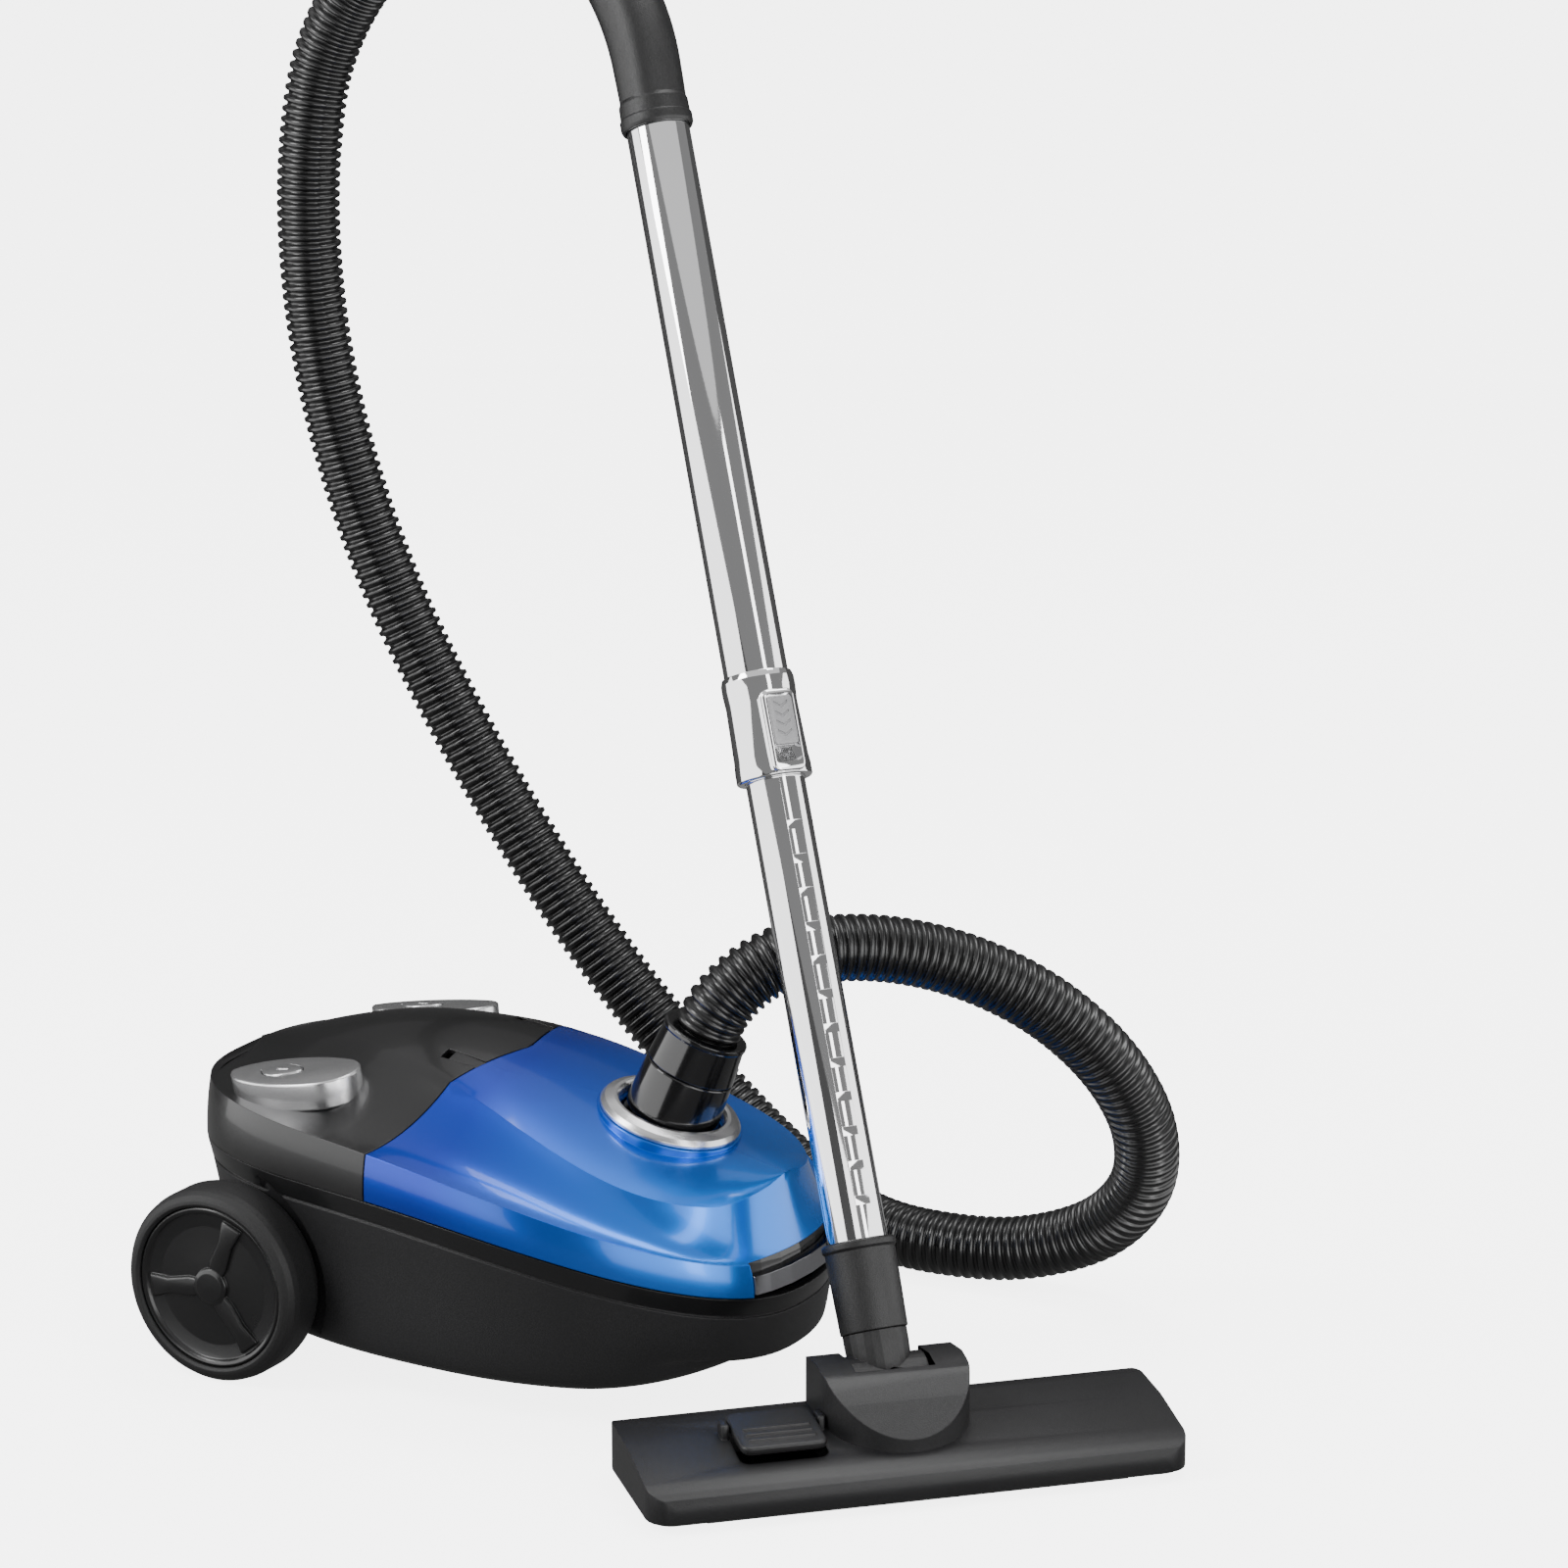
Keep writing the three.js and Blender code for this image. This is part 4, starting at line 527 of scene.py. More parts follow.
def plateau_half_width(x):
    p = min(1, max(0, (x - PLATEAU_REAR_X) / (PLATEAU_FRONT_X - PLATEAU_REAR_X)))
    return PLATEAU_WIDTH * p ** 0.8 * math.sqrt(1 - p ** 6)


def underside_z(x):
    rise = max(0, x - CHIN_START_X) / (FRONT_X - CHIN_START_X)
    return FLOOR_CLEARANCE + CHIN_RISE * rise ** 2


def quad(a, b, c, t):
    """Through a, b at the middle and c."""
    m = b * 2 - (a + c) * 0.5
    return a * (1 - t) ** 2 + m * 2 * t * (1 - t) + c * t * t


def catmull(pts, t):
    n = len(pts) - 1
    i = min(n - 1, int(t * n))
    f = t * n - i
    p0, p1 = pts[max(0, i - 1)], pts[i]
    p2, p3 = pts[i + 1], pts[min(n, i + 2)]
    return (p1 * 2 + (p2 - p0) * f + (p0 * 2 - p1 * 5 + p2 * 4 - p3) * f * f
            + (p1 * 3 - p0 - p2 * 3 + p3) * f ** 3) * 0.5


def body_column(t, inset):
    """Points from the middle of the underside up to the crown line, at angle t."""
    k = inset / HALF_WIDTH
    col = []

    def at(share, z):
        x, y = outline_point(t, share - k)
        return Vector((x, y, z(x)))

    first = at(0.84, lambda x: underside_z(x) + inset)
    col.append(Vector((first.x, 0, first.z)))
    side = [first, at(0.89, lambda x: underside_z(x) + 3 + inset * 0.4),
            at(0.925, lambda x: underside_z(x) + 12 + inset * 0.4),
            at(0.96, lambda x: seam_z(x) - 38), at(0.985, lambda x: seam_z(x) - BAND - 0.5)]
    steps = 18
    for i in range(steps + 1):
        col.append(catmull(side, i / steps))
    if inset == 0:
        col.append(at(0.9785, lambda x: seam_z(x) - BAND))
        col.append(at(0.9785, lambda x: seam_z(x) - BAND + 1))
        col.append(at(0.988, lambda x: seam_z(x) - BAND + 1.5))
    for share, drop in ((0.992, 7), (0.997, 3.5), (1.0, 0)):
        col.append(at(share, lambda x, d=drop: seam_z(x) - d))
    low = at(1.0, seam_z)
    high = at(0.985, lambda x: seam_z(x) + skirt_height(x) - inset * 0.5)
    mid = (low + high) / 2
    out = Vector((low.x - WIDEST_X, low.y, 0)).normalized() * 0.8
    for i in range(1, 7):
        col.append(quad(low, mid + out, high, i / 6))
    span = (PLATEAU_FRONT_X - PLATEAU_REAR_X) / (FRONT_X - REAR_X)
    ox = outline_point(t, 1)[0]
    px = PLATEAU_REAR_X + (ox - REAR_X) * span
    py = math.copysign(plateau_half_width(px) * (1 - k), math.sin(t))
    crown = PLATEAU_CROWN * min(1, plateau_half_width(px) / PLATEAU_BLEND)
    edge_z = crown_z(px) - crown - inset
    edge = Vector((px, py, edge_z))
    dip = (high + edge) / 2 - Vector((0, 0, SHOULDER_DIP))
    for i in range(1, 13):
        col.append(quad(high, dip, edge, i / 12))
    for i in range(1, 11):
        f = 1 - i / 10
        col.append(Vector((px, py * f, edge_z + crown * (1 - f * f))))
    return col


def body_skin(name, inset, around=192):
    """Closed skin of the whole canister, inset in mm."""
    cols = []
    for i in range(around):
        t = 2 * math.pi * i / around
        col = body_column(t, inset)
        if i in (0, around // 2):
            for p in col:
                p.y = 0
        cols.append([(p - ORIGIN) * MM for p in col])
    n = len(cols[0])
    verts = [p for c in cols for p in c]
    faces = []
    for i in range(around):
        j = (i + 1) % around
        for k in range(n - 1):
            faces.append((i * n + k, j * n + k, j * n + k + 1, i * n + k + 1))
    obj = mesh_object(name, verts, faces, 24)
    bm = bmesh.new()
    bm.from_mesh(obj.data)
    bmesh.ops.remove_doubles(bm, verts=bm.verts, dist=2e-6)
    bmesh.ops.dissolve_degenerate(bm, edges=bm.edges, dist=2e-6)
    bmesh.ops.recalc_face_normals(bm, faces=bm.faces)
    bm.to_mesh(obj.data)
    bm.free()
    return obj


def slab_xz(name, points, y0=-400, y1=400):
    """Side outline in X and Z, extruded across Y."""
    n = len(points)
    verts = [place(x, y0, z) for x, z in points] + [place(x, y1, z) for x, z in points]
    faces = [tuple(range(n)), tuple(reversed(range(n, 2 * n)))]
    faces += [(k, n + k, n + (k + 1) % n, (k + 1) % n) for k in range(n)]
    return mesh_object(name, verts, faces)


def below_seam(offset):
    """Everything under the curved seam."""
    pts = [(-400, -300), (400, -300), (400, seam_z(FRONT_X) + offset)]
    pts += [(x, seam_z(x) + offset) for x in range(FRONT_X + 10, SEAM_BEND_X, -5)]
    pts += [(-400, SEAM_Z + offset)]
    return slab_xz("cut_seam", pts)


def split_x(y):
    """Where the lid ends and the rear cover starts."""
    return 14 - 34 * (abs(y) / HALF_WIDTH) ** 1.2


def ahead_of_split(offset):
    pts = [(400, -300), (400, 300), (split_x(122) + offset, 300)]
    pts += [(split_x(y) + offset, y) for y in range(122, -123, -4)]
    pts += [(split_x(122) + offset, -300)]
    return prism("cut_split", pts, -300, 600, Matrix.Translation(-ORIGIN * MM))


def box_mm(name, x0, x1, y0, y1, z0, z1):
    pts = [(x0, y0), (x1, y0), (x1, y1), (x0, y1)]
    return prism(name, pts, z0, z1, Matrix.Translation(-ORIGIN * MM))


def rod(name, r, z0, z1, matrix, segments=64):
    """Plain round rod, mostly a cutter."""
    return lathe(name, [(AXIS_R, z0), (r, z0), (r, z1), (AXIS_R, z1)], matrix, segments, 0.01)


def disc_y(name, r, y0, y1, x, z, segments=96):
    """Plain disc or cutter across the machine."""
    return rod(name, r, y0, y1, across(x, z), segments)


def shell():
    outer = body_skin("outer", 0)
    inner = body_skin("inner", WALL)
    return carve(outer, [(inner, "DIFFERENCE")], 24)


INLET_X = 102
INLET = Vector((INLET_X, 0, crown_z(INLET_X)))
CUFF = leaning(place(*INLET), 18.4, 22.3)
RING = leaning(place(*INLET), 0, 16)
LATCH_HALF = 47
LATCH_TOP = 91


def build_lid(whole):
    lid_mesh = whole.copy()
    lid_mesh.data = whole.data.copy()
    bpy.context.collection.objects.link(lid_mesh)
    mouth = lathe("cut_mouth", [(AXIS_R, -60), (26.5, -60), (28.2, -1), (28.2, 60), (AXIS_R, 60)],
                  CUFF, 64, 0.01)
    lid_mesh = carve(lid_mesh, [
        (ahead_of_split(0.5), "INTERSECT"), (below_seam(0.8), "DIFFERENCE"), (mouth, "DIFFERENCE"),
        (box_mm("cut_latch", 130, 260, -LATCH_HALF, LATCH_HALF, 40, LATCH_TOP), "DIFFERENCE")], 24)
    boss = lathe("boss", [(28.6, -9), (40.5, -9), (40.5, 2.4), (28.6, 2.4), (28.6, -9)], RING, 96, 0.8)
    arms = []
    for side in (1, -1):
        y = side * 38
        arm = box_mm("arm", -13, 20, y - 4, y + 4, 163, 183)
        top = body_skin("arm_top", 0.2, 96)
        carve(arm, [(top, "INTERSECT")])
        arms.append(arm)
    lid = joined("lid_skin", [lid_mesh, boss] + arms, arms)
    piece(lid, (BLUE, SATIN), "lid", "front_lid")


def build_cover(whole):
    cover = carve(whole, [
        (ahead_of_split(-0.5), "DIFFERENCE"), (below_seam(0.3), "DIFFERENCE"),
        (box_mm("slot_a", -18, 40, 33.6, 42.4, 148, 260), "DIFFERENCE"),
        (box_mm("slot_b", -18, 40, -42.4, -33.6, 148, 260), "DIFFERENCE")], 24)
    lugs = [box_mm("lug", -14, -2, s * 20 - 3, s * 20 + 3, 161, 176) for s in (1, -1)]
    cover = joined("cover_skin", [cover] + lugs)
    piece(cover, SATIN, "canister", "rear_cover")


def build_base():
    outer = body_skin("base_outer", 0)
    wells = [disc_y("well", WELL_R, 103, 183, *WHEEL), disc_y("well", WELL_R, -183, -103, *WHEEL)]
    bosses = [disc_y("boss", BOSS_R, 70, 103, *WHEEL), disc_y("boss", BOSS_R, -103, -70, *WHEEL)]
    outer = carve(outer, [(below_seam(0), "INTERSECT")] + [(w, "DIFFERENCE") for w in wells]
                  + [(b, "UNION") for b in bosses], 24)
    inner = body_skin("base_inner", WALL)
    reach = 103 - WALL
    wells = [disc_y("well", WELL_R + WALL, reach, 183, *WHEEL),
             disc_y("well", WELL_R + WALL, -183, -reach, *WHEEL)]
    inner = carve(inner, [(w, "DIFFERENCE") for w in wells], 24)
    holes = [disc_y("boss", BOSS_R - WALL, 60, reach, *WHEEL),
             disc_y("boss", BOSS_R - WALL, -reach, -60, *WHEEL),
             disc_y("axle", 8.3, -300, 300, *WHEEL, 48)]
    caster = Matrix.Translation(place(CASTER_X, 0, 0))
    cup = rod("cup", 24, -30, 37.4, caster, 72)
    cup_wall = lathe("cup_wall", [
        (24, 21), (26.6, 21), (26.6, 40), (4.5, 40), (4.5, 37.5), (24, 37.5), (24, 21)], caster, 72, 0.3)
    window = box_mm("window", -260, -116, -46, 46, 52, 88)
    bush = rod("bush_hole", 8.3, -60, 60,
               Matrix.Translation(place(REAR_X, 0, 102)) @ Matrix.Rotation(math.pi / 2, 4, "Y"), 48)
    base = carve(outer, [(inner, "DIFFERENCE")] + [(h, "DIFFERENCE") for h in holes]
                 + [(cup, "DIFFERENCE"), (window, "DIFFERENCE"), (bush, "DIFFERENCE")], 24)
    base = joined("base_skin", [base, cup_wall])
    for f in base.data.polygons:
        c = f.center / MM + ORIGIN
        f.material_index = 1 if c.z > seam_z(c.x) - 10.8 else 0
    piece(base, (GREY, SATIN), "canister", "base_shell")


both_covers = shell()
build_lid(both_covers)
build_cover(both_covers)
build_base()


# ------------------------------------------------------------ inlet and cuff
def build_inlet():
    ring = lathe("inlet_bezel", [
        (29.5, 2.7), (39.5, 2.7), (39.5, 4.7), (37.6, 7.2), (33, 9.2), (31, 9.2), (29.5, 7.2), (29.5, 2.7)],
        RING, 128, 0.7)
    piece(ring, SILVER, "lid", "inlet_ring")
    low = lathe("cuff_foot", [
        (17, -22), (23, -22), (23, -0.6), (25.8, 3), (26.4, 6), (24.9, 31.2), (24.3, 32), (17, 32),
        (17, -22)], CUFF, 128, 0.8)
    piece(low, GLOSS, "cuff", "cuff_lower")
    top = lathe("cuff_collar", [
        (16, 32.3), (24.2, 32.3), (24.8, 33.1), (23.2, 52.4), (23.9, 53.4), (23.9, 55.6), (22.6, 56),
        (16, 56), (16, 32.3)], CUFF, 128, 0.6)
    piece(top, GLOSS, "cuff", "cuff_upper")


build_inlet()


# ------------------------------------------------------------ pads and buttons
def bezier(p0, p1, p2, p3, n):
    out = []
    for i in range(n):
        t = i / n
        u = 1 - t
        near = Vector(p0) * u ** 3 + Vector(p1) * 3 * u * u * t
        out.append(near + Vector(p2) * 3 * u * t * t + Vector(p3) * t ** 3)
    return out


def leaf():
    h, w = 42, 44
    pts = bezier((-h, 0), (-h + 6, -w * 0.42), (2, -w * 0.6), (h - 14, -w * 0.42), 24)
    pts += bezier((h - 14, -w * 0.42), (h + 3, -w * 0.26), (h + 3, w * 0.26), (h - 14, w * 0.42), 24)
    pts += bezier((h - 14, w * 0.42), (2, w * 0.6), (-h + 6, w * 0.42), (-h, 0), 24)
    return [(p.x, p.y) for p in pts]


def button_outline(grow):
    a, b = 13.5 + grow, 8.5 + grow
    out = []
    for p0, p1, p2 in (((-a, 0), (-a * .45, -b * 1.3), (a * .3, -b * .9)),
                       ((a * .3, -b * .9), (a * .9, -b * .6), (a, 0)),
                       ((a, 0), (a * .9, b * .6), (a * .3, b * .9)),
                       ((a * .3, b * .9), (-a * .45, b * 1.3), (-a, 0))):
        for i in range(12):
            t = i / 12
            u = 1 - t
            q = Vector(p0) * u * u + Vector(p1) * 2 * u * t + Vector(p2) * t * t
            out.append((q.x - 8, q.y))
    return out


def build_pads():
    """Two leaf-shaped pads, each with its button in a groove."""
    for side, name in ((-1, "power"), (1, "rewind")):
        m = (Matrix.Translation(place(-95, side * 72, 165)) @ Matrix.Rotation(math.radians(-8), 4, "Y")
             @ Matrix.Rotation(math.radians(-side * 6), 4, "X"))
        pad = prism(f"{name}_leaf", leaf(), -16, 0, m, 1.4, 4)
        hole = prism("hole", button_outline(0.9), -9.5, 6, m)
        carve(pad, [(hole, "DIFFERENCE")], 40)
        piece(pad, SILVER, "canister", f"{name}_pad")
        cap = prism(f"{name}_cap", button_outline(0), -6.5, 0.7, m, 1.0, 4)
        mark = prism("mark", [(-11, -1), (-4, -1), (-4, 1), (-11, 1)], 0.3, 2, m)
        carve(cap, [(mark, "DIFFERENCE")], 40)
        piece(cap, SILVER, f"{name}_key", f"{name}_button")


build_pads()


# ------------------------------------------------------------ wheels
def build_wheels():
    """Rubber tyres round dished hubs with three raised arms."""
    for side, name in ((1, "left"), (-1, "right")):
        middle = place(WHEEL[0], side * 106, WHEEL[1])
        m = Matrix.Translation(middle) @ Matrix.Rotation(-side * math.pi / 2, 4, "X")
        tyre = lathe(f"tyre_{name}_skin", [
            (46, 0), (51, 0), (54, 2), (55, 6), (55, 21), (54.3, 25), (52.4, 28), (49.6, 29.4),
            (47.6, 29.8), (46, 28.5), (46, 0)], m, 160, 1.2)
        piece(tyre, RUBBER, f"wheel_{name}", f"tyre_{name}")
        hub = lathe(f"hub_{name}_skin", [
            (8.4, 3), (12, 3), (13, 21), (42.7, 21), (42.7, 4), (45.7, 4), (45.7, 27.4), (44.4, 28.2),
            (42.6, 27.2), (41.6, 25.8), (34, 24.6), (18, 24.9), (AXIS_R, 26.4), (AXIS_R, 20), (8.4, 20),
            (8.4, 3)], m, 160, 0.8)
        parts = [hub]
        for k in range(3):
            a = math.radians(90 + 120 * k + 8)
            arm = [(-3.2, 0), (-5.6, 14), (-4.4, 28), (-6.8, 40), (6.8, 40), (4.4, 28), (5.6, 14), (3.2, 0)]
            pts = [(x * math.cos(a) - y * math.sin(a), x * math.sin(a) + y * math.cos(a)) for x, y in arm]
            parts.append(prism("arm", pts, 20, 27.4, m, 1.2, 3))
        cap = [(AXIS_R, 20), (10.5, 20), (10.5, 27.4), (8, 28.4), (AXIS_R, 28.8)]
        parts.append(lathe("cap", cap, m, 64, 1.0))
        hub = joined(f"hub_{name}_skin", parts)
        piece(hub, SATIN, f"wheel_{name}", f"hub_{name}")


build_wheels()

# ------------------------------------------------------------ wand
PIVOT = (264, -55, 38)    # where the wand tilts on the nozzle
WAND = leaning(place(*PIVOT), 143, 25.03)
TUBE_WALL = 0.9
NOTCH_COUNT = 12
NOTCH_START = 97
NOTCH_PITCH = 18.5
HANDLE = WAND @ Matrix.Rotation(math.radians(25), 4, "Z")


def rounded(x0, x1, y0, y1, r):
    """Rectangle with corners of radius r."""
    pts = []
    corners = ((x1 - r, y0 + r, -90), (x1 - r, y1 - r, 0), (x0 + r, y1 - r, 90), (x0 + r, y0 + r, 180))
    for cx, cy, a0 in corners:
        for k in range(6):
            a = math.radians(a0 + 18 * k)
            pts.append((cx + r * math.cos(a), cy + r * math.sin(a)))
    return pts


def pipe(name, outer, wall, z0, z1):
    """Straight tube on the wand's axis."""
    r = outer - wall
    return lathe(name, [(r, z0), (outer, z0), (outer, z1), (r, z1), (r, z0)], WAND, 128, 0.1)


def facing(frame):
    """Frame whose Z axis points out of the wand's front, and whose X runs down it."""
    return frame @ Matrix.Rotation(-math.pi / 2, 4, "Y") @ Matrix.Rotation(math.pi, 4, "Z")


def build_wand():
    upper = pipe("upper_tube_skin", 17.5, TUBE_WALL, 348, 706)
    piece(upper, CHROME, "canister", "upper_tube")
    lower = pipe("lower_tube_skin", 16.1, TUBE_WALL, 43, 470)
    face = facing(WAND)
    cuts = []
    for i in range(NOTCH_COUNT):
        z = NOTCH_START + i * NOTCH_PITCH
        cuts.append((prism("notch", rounded(-z - 5, -z, -6, 6, 2.2), 15.5, 20, face), "DIFFERENCE"))
    carve(lower, cuts, 40)
    piece(lower, CHROME, "lower_wand", "lower_tube")
    clamp = lathe("clamp_skin", [
        (17.8, 344), (17.8, 388), (18.9, 388.4), (19.9, 385), (20, 380), (19.4, 372), (20.2, 342),
        (20.7, 337), (20.7, 331), (19.8, 330), (16.5, 330), (16.5, 338), (17.8, 344)], WAND, 128, 1.2)
    hood_part = prism("clamp_hood", rounded(-376, -331, -9.5, 9.5, 4), 15, 24, face, 1.6, 3)
    window = rounded(-373, -336, -7.6, 7.6, 2.5)
    pocket = prism("pocket", window, 19.7, 40, face)
    bore = rod("bore", 17.7, 320, 400, WAND, 96)
    carve(hood_part, [(pocket, "DIFFERENCE"), (bore, "DIFFERENCE")], 40)
    pocket = prism("pocket", window, 19.7, 40, face)
    carve(clamp, [(pocket, "DIFFERENCE")], 40)
    clamp = joined("clamp_skin", [clamp, hood_part])
    piece(clamp, CHROME, "canister", "tube_clamp")
    slider = prism("slider_skin", rounded(-372, -345, -7.1, 7.1, 2), 19.9, 25.0, face, 0.8, 3)
    marks = []
    for i in range(4):
        z = -349.5 - i * 5.2
        pts = [(z, 0), (z - 2.6, 4), (z - 4.0, 4), (z - 1.4, 0), (z - 4.0, -4), (z - 2.6, -4)]
        marks.append((prism("mark", pts, 24.5, 28, face), "DIFFERENCE"))
    carve(slider, marks, 40)
    piece(slider, RELEASE, "tube_release", "clamp_slider")
    sleeve = lathe("sleeve_skin", [
        (16.4, 42), (16.4, 79), (18.6, 79.4), (20, 78.4), (20, 75.4), (18.9, 74), (18.8, 60), (18.2, 31),
        (14, 31), (14, 42), (16.4, 42)], WAND, 128, 0.7)
    piece(sleeve, GRIP, "lower_wand", "neck_sleeve")


build_wand()
GRIP_FOOT = 705
BEND_TOP = 734            # where the handle starts to bend
BEND_R = 138
BEND = math.radians(45)


def handle_point(s):
    """Middle line of the handle, s from the foot of the grip."""
    straight = BEND_TOP - GRIP_FOOT
    if s < straight:
        return Vector((0, 0, GRIP_FOOT + s)), 0.0
    a = (s - straight) / BEND_R
    return Vector((BEND_R * (1 - math.cos(a)), 0, BEND_TOP + BEND_R * math.sin(a))), a


def build_handle():
    total = BEND_TOP - GRIP_FOOT + BEND_R * BEND
    rows = []
    steps, sides = 60, 64
    for i in range(steps + 1):
        s = total * i / steps
        c, a = handle_point(s)
        x = Vector((math.cos(a), 0, -math.sin(a)))
        y = Vector((0, 1, 0))
        f = s / total
        swell = 18.2 + 1.2 * math.sin(math.pi * f) - 0.4 * f
        ring = []
        for k in range(sides):
            ang = 2 * math.pi * k / sides
            r = swell * (1 + 0.018 * math.cos(3 * ang) + 0.012 * math.cos(6 * ang))
            ring.append(HANDLE @ ((c + x * math.cos(ang) * r + y * math.sin(ang) * r) * MM))
        rows.append(ring)
    grip = grid("grip", rows, caps=True, sharp=60)
    collar = lathe("collar", [
        (17.8, 697), (19.3, 697), (20.1, 699), (20.1, 703.6), (19.4, 704.2), (19.2, 712), (18.3, 714),
        (17.8, 714), (17.8, 697)], HANDLE, 96, 0.5)
    end, a = handle_point(total)
    end_frame = HANDLE @ Matrix.Translation(end * MM) @ Matrix.Rotation(a, 4, "Y")
    cuff = lathe("cuff", [(15, -28), (19.7, -28), (20.6, -24), (22.2, -18), (22.2, -2), (21.2, 0), (15, 0),
                          (15, -28)], end_frame, 96, 0.8)
    slot_point, b = handle_point(BEND_TOP - GRIP_FOOT + BEND_R * math.radians(22))
    slot_frame = HANDLE @ Matrix.Translation(slot_point * MM) @ Matrix.Rotation(b, 4, "Y")
    face = facing(slot_frame)
    cut = prism("cut", rounded(-24, 14, -8, 8, 3), 16.7, 30, face)
    carve(grip, [(cut, "DIFFERENCE")], 45)
    whole = joined("handle_skin", [grip, collar, cuff])
    piece(whole, GRIP, "canister", "handle_grip")
    slider = prism("suction_skin", rounded(-10, 13.4, -7.5, 7.5, 2.5), 17.0, 20.0, face, 0.8, 3)
    nub = prism("nub", rounded(-7.5, -4, -5, 5, 1.5), 19, 22, face, 0.6, 3)
    slider = joined("suction_skin", [slider, nub])
    piece(slider, GLOSS, "suction_control", "suction_slider")


build_handle()

# ------------------------------------------------------------ nozzle
NOZZLE = leaning(place(*PIVOT), 44.2)
FLOOR = -38
FRONT = -74
BACK = 22
HALF = 146
ALONG = NOZZLE @ Matrix.Rotation(math.pi / 2, 4, "Y")


def side_block(name, outline, half, sharp=35):
    """Side outline of (y, height above the floor), run along the nozzle."""
    n = len(outline)
    verts = [NOZZLE @ (Vector((x, y, FLOOR + z)) * MM) for x in (-half, half) for y, z in outline]
    faces = [tuple(range(n)), tuple(reversed(range(n, 2 * n)))]
    faces += [(k, n + k, n + (k + 1) % n, (k + 1) % n) for k in range(n)]
    return mesh_object(name, verts, faces, sharp)


def nozzle_block():
    """Body of the nozzle: its side outline, cut to its plan with rounded ends."""
    obj = side_block("nozzle_skin", [
        (FRONT + 1, 5), (FRONT, 9), (FRONT, 14), (FRONT + 1.5, 18), (FRONT + 6, 20.4), (FRONT + 14, 23),
        (FRONT + 50, 29.5), (BACK - 16, 31), (BACK - 6, 29.6), (BACK - 1.5, 26), (BACK, 20), (BACK, 5)],
        HALF, 20)
    plan = prism("plan", rounded(-HALF, HALF, FRONT, BACK, 13), FLOOR, FLOOR + 60, NOZZLE)
    carve(obj, [(plan, "INTERSECT")], 30)
    return obj


def build_nozzle():
    body = nozzle_block()
    hollow = rounded(-HALF + 3, HALF - 3, FRONT + 3, BACK - 3, 10)
    hollow = prism("hollow", hollow, FLOOR - 5, FLOOR + 15, NOZZLE)
    well = rod("well", 21, -22, 22, ALONG)
    neck = prism("neckcut", [(-22, -21), (22, -21), (22, 21), (-22, 21)], -4, 20, NOZZLE)
    opening = prism("opening", rounded(-91.8, -44.2, -50.8, -9.2, 5.5), FLOOR + 10, FLOOR + 60, NOZZLE)
    channel = [(-118, -66), (118, -66), (118, -57.5), (-118, -57.5)]
    channel = prism("channel", channel, FLOOR, FLOOR + 17.8, NOZZLE)
    carve(body, [(cutter, "DIFFERENCE") for cutter in (hollow, channel, well, neck, opening)], 30)
    lugs = []
    for x in (-96, -44):
        lug = rounded(x, x + 4, -26, -16, 1.2)
        lugs.append(prism("lug", lug, FLOOR + 25, FLOOR + 37, NOZZLE, 0.8, 2))
    body = joined("nozzle_skin", [body] + lugs)
    add_bevel(body, 0.9, 3, 38)
    piece(body, NOZZLE_GREY, "nozzle", "nozzle_body")


def build_hood():
    outline = [(-40, 12), (-40, -16)]
    outline += [(40 * math.cos(a), -16 + 40 * math.sin(a))
                for a in [math.pi + math.pi * k / 32 for k in range(33)]][1:-1]
    outline += [(40, -16), (40, 12)]
    hood = prism("hood_skin", outline, FLOOR + 22, FLOOR + 62, NOZZLE)
    slope = [(-100, 0), (-100, 20), (-56, 31), (-38, 46), (-24, 56), (-8, 59), (13, 56), (13, 0)]
    wedge = side_block("wedge", slope, 60)
    well = rod("well", 19.8, -21.8, 21.8, ALONG, 96)
    neck = prism("neckcut", [(-21.8, -19.8), (21.8, -19.8), (21.8, 60), (-21.8, 60)], 0, 60, NOZZLE)
    carve(hood, [(wedge, "INTERSECT"), (well, "DIFFERENCE"), (neck, "DIFFERENCE")], 35)
    add_bevel(hood, 1.6, 4, 25)
    piece(hood, NOZZLE_GREY, "nozzle", "nozzle_hood")


def build_pedal():
    pivot = NOZZLE @ Matrix.Translation(Vector((0, -21, FLOOR + 33)) * MM)
    plate = pivot @ Matrix.Rotation(math.radians(7), 4, "X")
    flap = prism("pedal_skin", rounded(-91, -45, -29, 11, 5), -1, 3.5, plate, 1.4, 4)
    ribs = []
    for y in (-22, -16, -10):
        ribs.append(prism("rib", rounded(-86, -50, y, y + 2.2, 0.8), 3, 4.4, plate, 0.4, 2))
    pin = lathe("pin", [(AXIS_R, -95.5), (2, -95.5), (2, -40.5), (AXIS_R, -40.5)],
                pivot @ Matrix.Rotation(math.pi / 2, 4, "Y"), 32, 0.3)
    flap = joined("pedal_skin", [flap, pin] + ribs)
    piece(flap, NOZZLE_GREY, "foot_pedal", "pedal")


build_nozzle()
build_hood()
build_pedal()


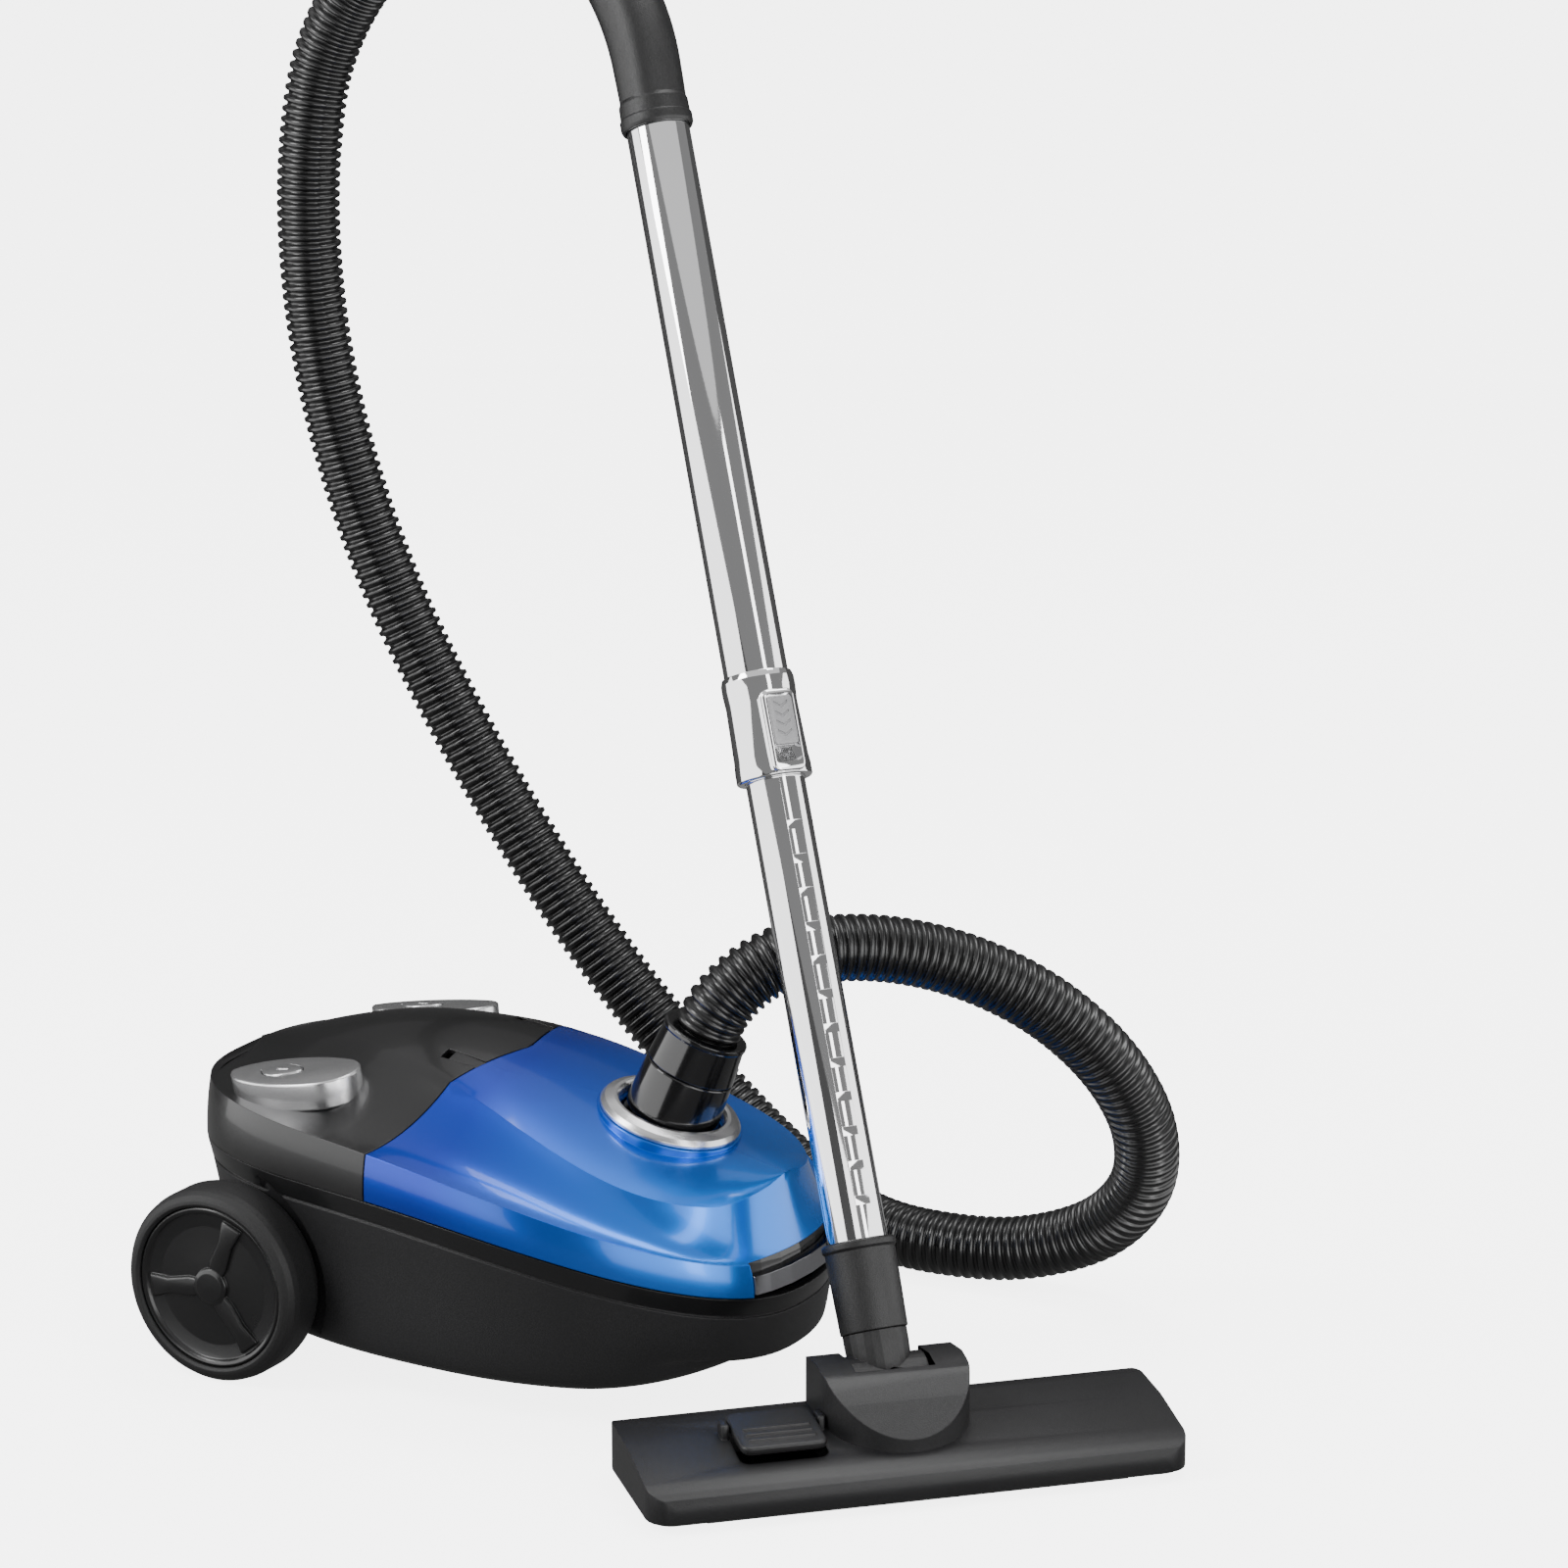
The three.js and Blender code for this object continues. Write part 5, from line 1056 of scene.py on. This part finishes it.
# ------------------------------------------------------------ carried-over pieces
# each material with the nodes of the part that are shown as they are
CARRIED_OVER = (
    (SATIN, ("exhaust_grille", "inlet_socket", "caster_fork", "latch_frame")),
    (GRIP, ("elbow",)),
    (INNER, ("sole_plate", "bulkhead", "motor_housing", "reel_drum", "brake_lever")),
    (RUBBER, ("caster_wheel", "nozzle_wheel_left", "nozzle_wheel_right", "inlet_seal", "cord_bush",
              "motor_ring", "motor_saddle", "motor_foot", "brush_strip")),
    (STEEL, ("lid_hinge_pin", "axle_left", "axle_right", "caster_axle", "motor_rotor", "impeller",
             "reel_stand")),
    (DARK_CHROME, ("latch_bar",)),
    (PAPER, ("dust_bag", "bag_plate")),
    (FOAM, ("premotor_filter",)),
)
for mat, names in CARRIED_OVER:
    for name in names:
        slots = frame["nodes"][name].data.materials
        slots.clear()
        slots.append(mat)


# ------------------------------------------------------------ studio
def area(name, size, power, position, target):
    data = bpy.data.lights.new(name, "AREA")
    data.shape = "RECTANGLE"
    data.size, data.size_y = size
    data.energy = power
    obj = bpy.data.objects.new(name, data)
    obj.location = position
    direction = Vector(target) - Vector(position)
    obj.rotation_euler = direction.to_track_quat("-Z", "Y").to_euler()
    bpy.context.collection.objects.link(obj)
    return obj


def glow(name, level):
    """Even surroundings that only reflections and soft light see."""
    mat = material(name, (0.02, 0.02, 0.02), 0.9, 0, 0, 0.05, 60, 0.1, 0.02)
    shader = mat.node_tree.nodes["Principled BSDF"]
    shader.inputs["Emission Color"].default_value = (level, level, level, 1)
    shader.inputs["Emission Strength"].default_value = 1
    return mat


DISC_R = 0.9              # metres, as everything in the studio
WALL_DISTANCE = 3.4


def circle(r, z):
    turns = [math.pi * k / 24 for k in range(48)]
    return [Vector((r * math.cos(t), r * math.sin(t), z)) for t in turns]


def build_studio():
    """White floor for the camera, and bright and dark wedges that only reflections see."""
    floor = mesh_object("floor", [(-9, -9, 0), (9, -9, 0), (9, 14, 0), (-9, 14, 0)], [(0, 1, 2, 3)])
    floor_mat = material("floor_white", (0.9, 0.9, 0.9), 0.6, 0, 0, 0.02, 60, 0.005, 0.02)
    shader = floor_mat.node_tree.nodes["Principled BSDF"]
    shader.inputs["Emission Color"].default_value = (1, 1, 1, 1)
    shader.inputs["Emission Strength"].default_value = 4.5
    paint(floor, floor_mat)
    floor.visible_diffuse = False
    floor.visible_glossy = False
    dull = glow("dull_glow", 0.2)
    dark = glow("dark_glow", 0.05)
    bright = glow("bright_glow", 2.6)
    corners = [(-9, -9, -0.02), (9, -9, -0.02), (9, 9, -0.02), (-9, 9, -0.02)]
    ground = mesh_object("ground", corners, [(0, 1, 2, 3)])
    paint(ground, dull)
    ground.visible_glossy = False
    # what shiny pieces mirror: a dull disc near the machine, then wedges that run up the wall
    wedges = []
    edges = (-178, -100, -66, 55, 182)
    for a, b, mat in zip(edges, edges[1:], (bright, dark, bright, dark)):
        steps = max(2, (b - a) // 8)
        turn = [math.radians(a + (b - a) * k / steps) for k in range(steps + 1)]
        path = ((DISC_R, -0.01), (WALL_DISTANCE, -0.01), (WALL_DISTANCE, 1.6))
        rows = [[Vector((r * math.cos(t), r * math.sin(t), z)) for t in turn] for r, z in path]
        wedges.append(paint(grid("wedge", rows, closed_ring=False), mat))
    disc = mesh_object("disc", circle(DISC_R, -0.01), [tuple(range(48))])
    upper_wall = grid("surround", [circle(WALL_DISTANCE, z) for z in (1.6, 3.2)])
    wedges += [paint(disc, dull), paint(upper_wall, dull)]
    for obj in wedges:
        obj.visible_diffuse = False
    for obj in wedges + [ground]:
        obj.visible_camera = False
        obj.visible_shadow = False
    world = bpy.data.worlds.new("world")
    bpy.context.scene.world = world
    world.use_nodes = True
    world.node_tree.nodes["Background"].inputs["Color"].default_value = (1, 1, 1, 1)
    world.node_tree.nodes["Background"].inputs["Strength"].default_value = 0.75
    area("key", (0.9, 1.5), 46, (-1.5, -1.5, 1.9), (0, 0, 0.15))
    area("right", (0.5, 2.2), 16, (2.3, -0.9, 1.1), (0.1, 0, 0.3))
    area("top", (1.7, 0.7), 24, (0.2, 0.7, 2.4), (0, 0, 0.1))


build_studio()
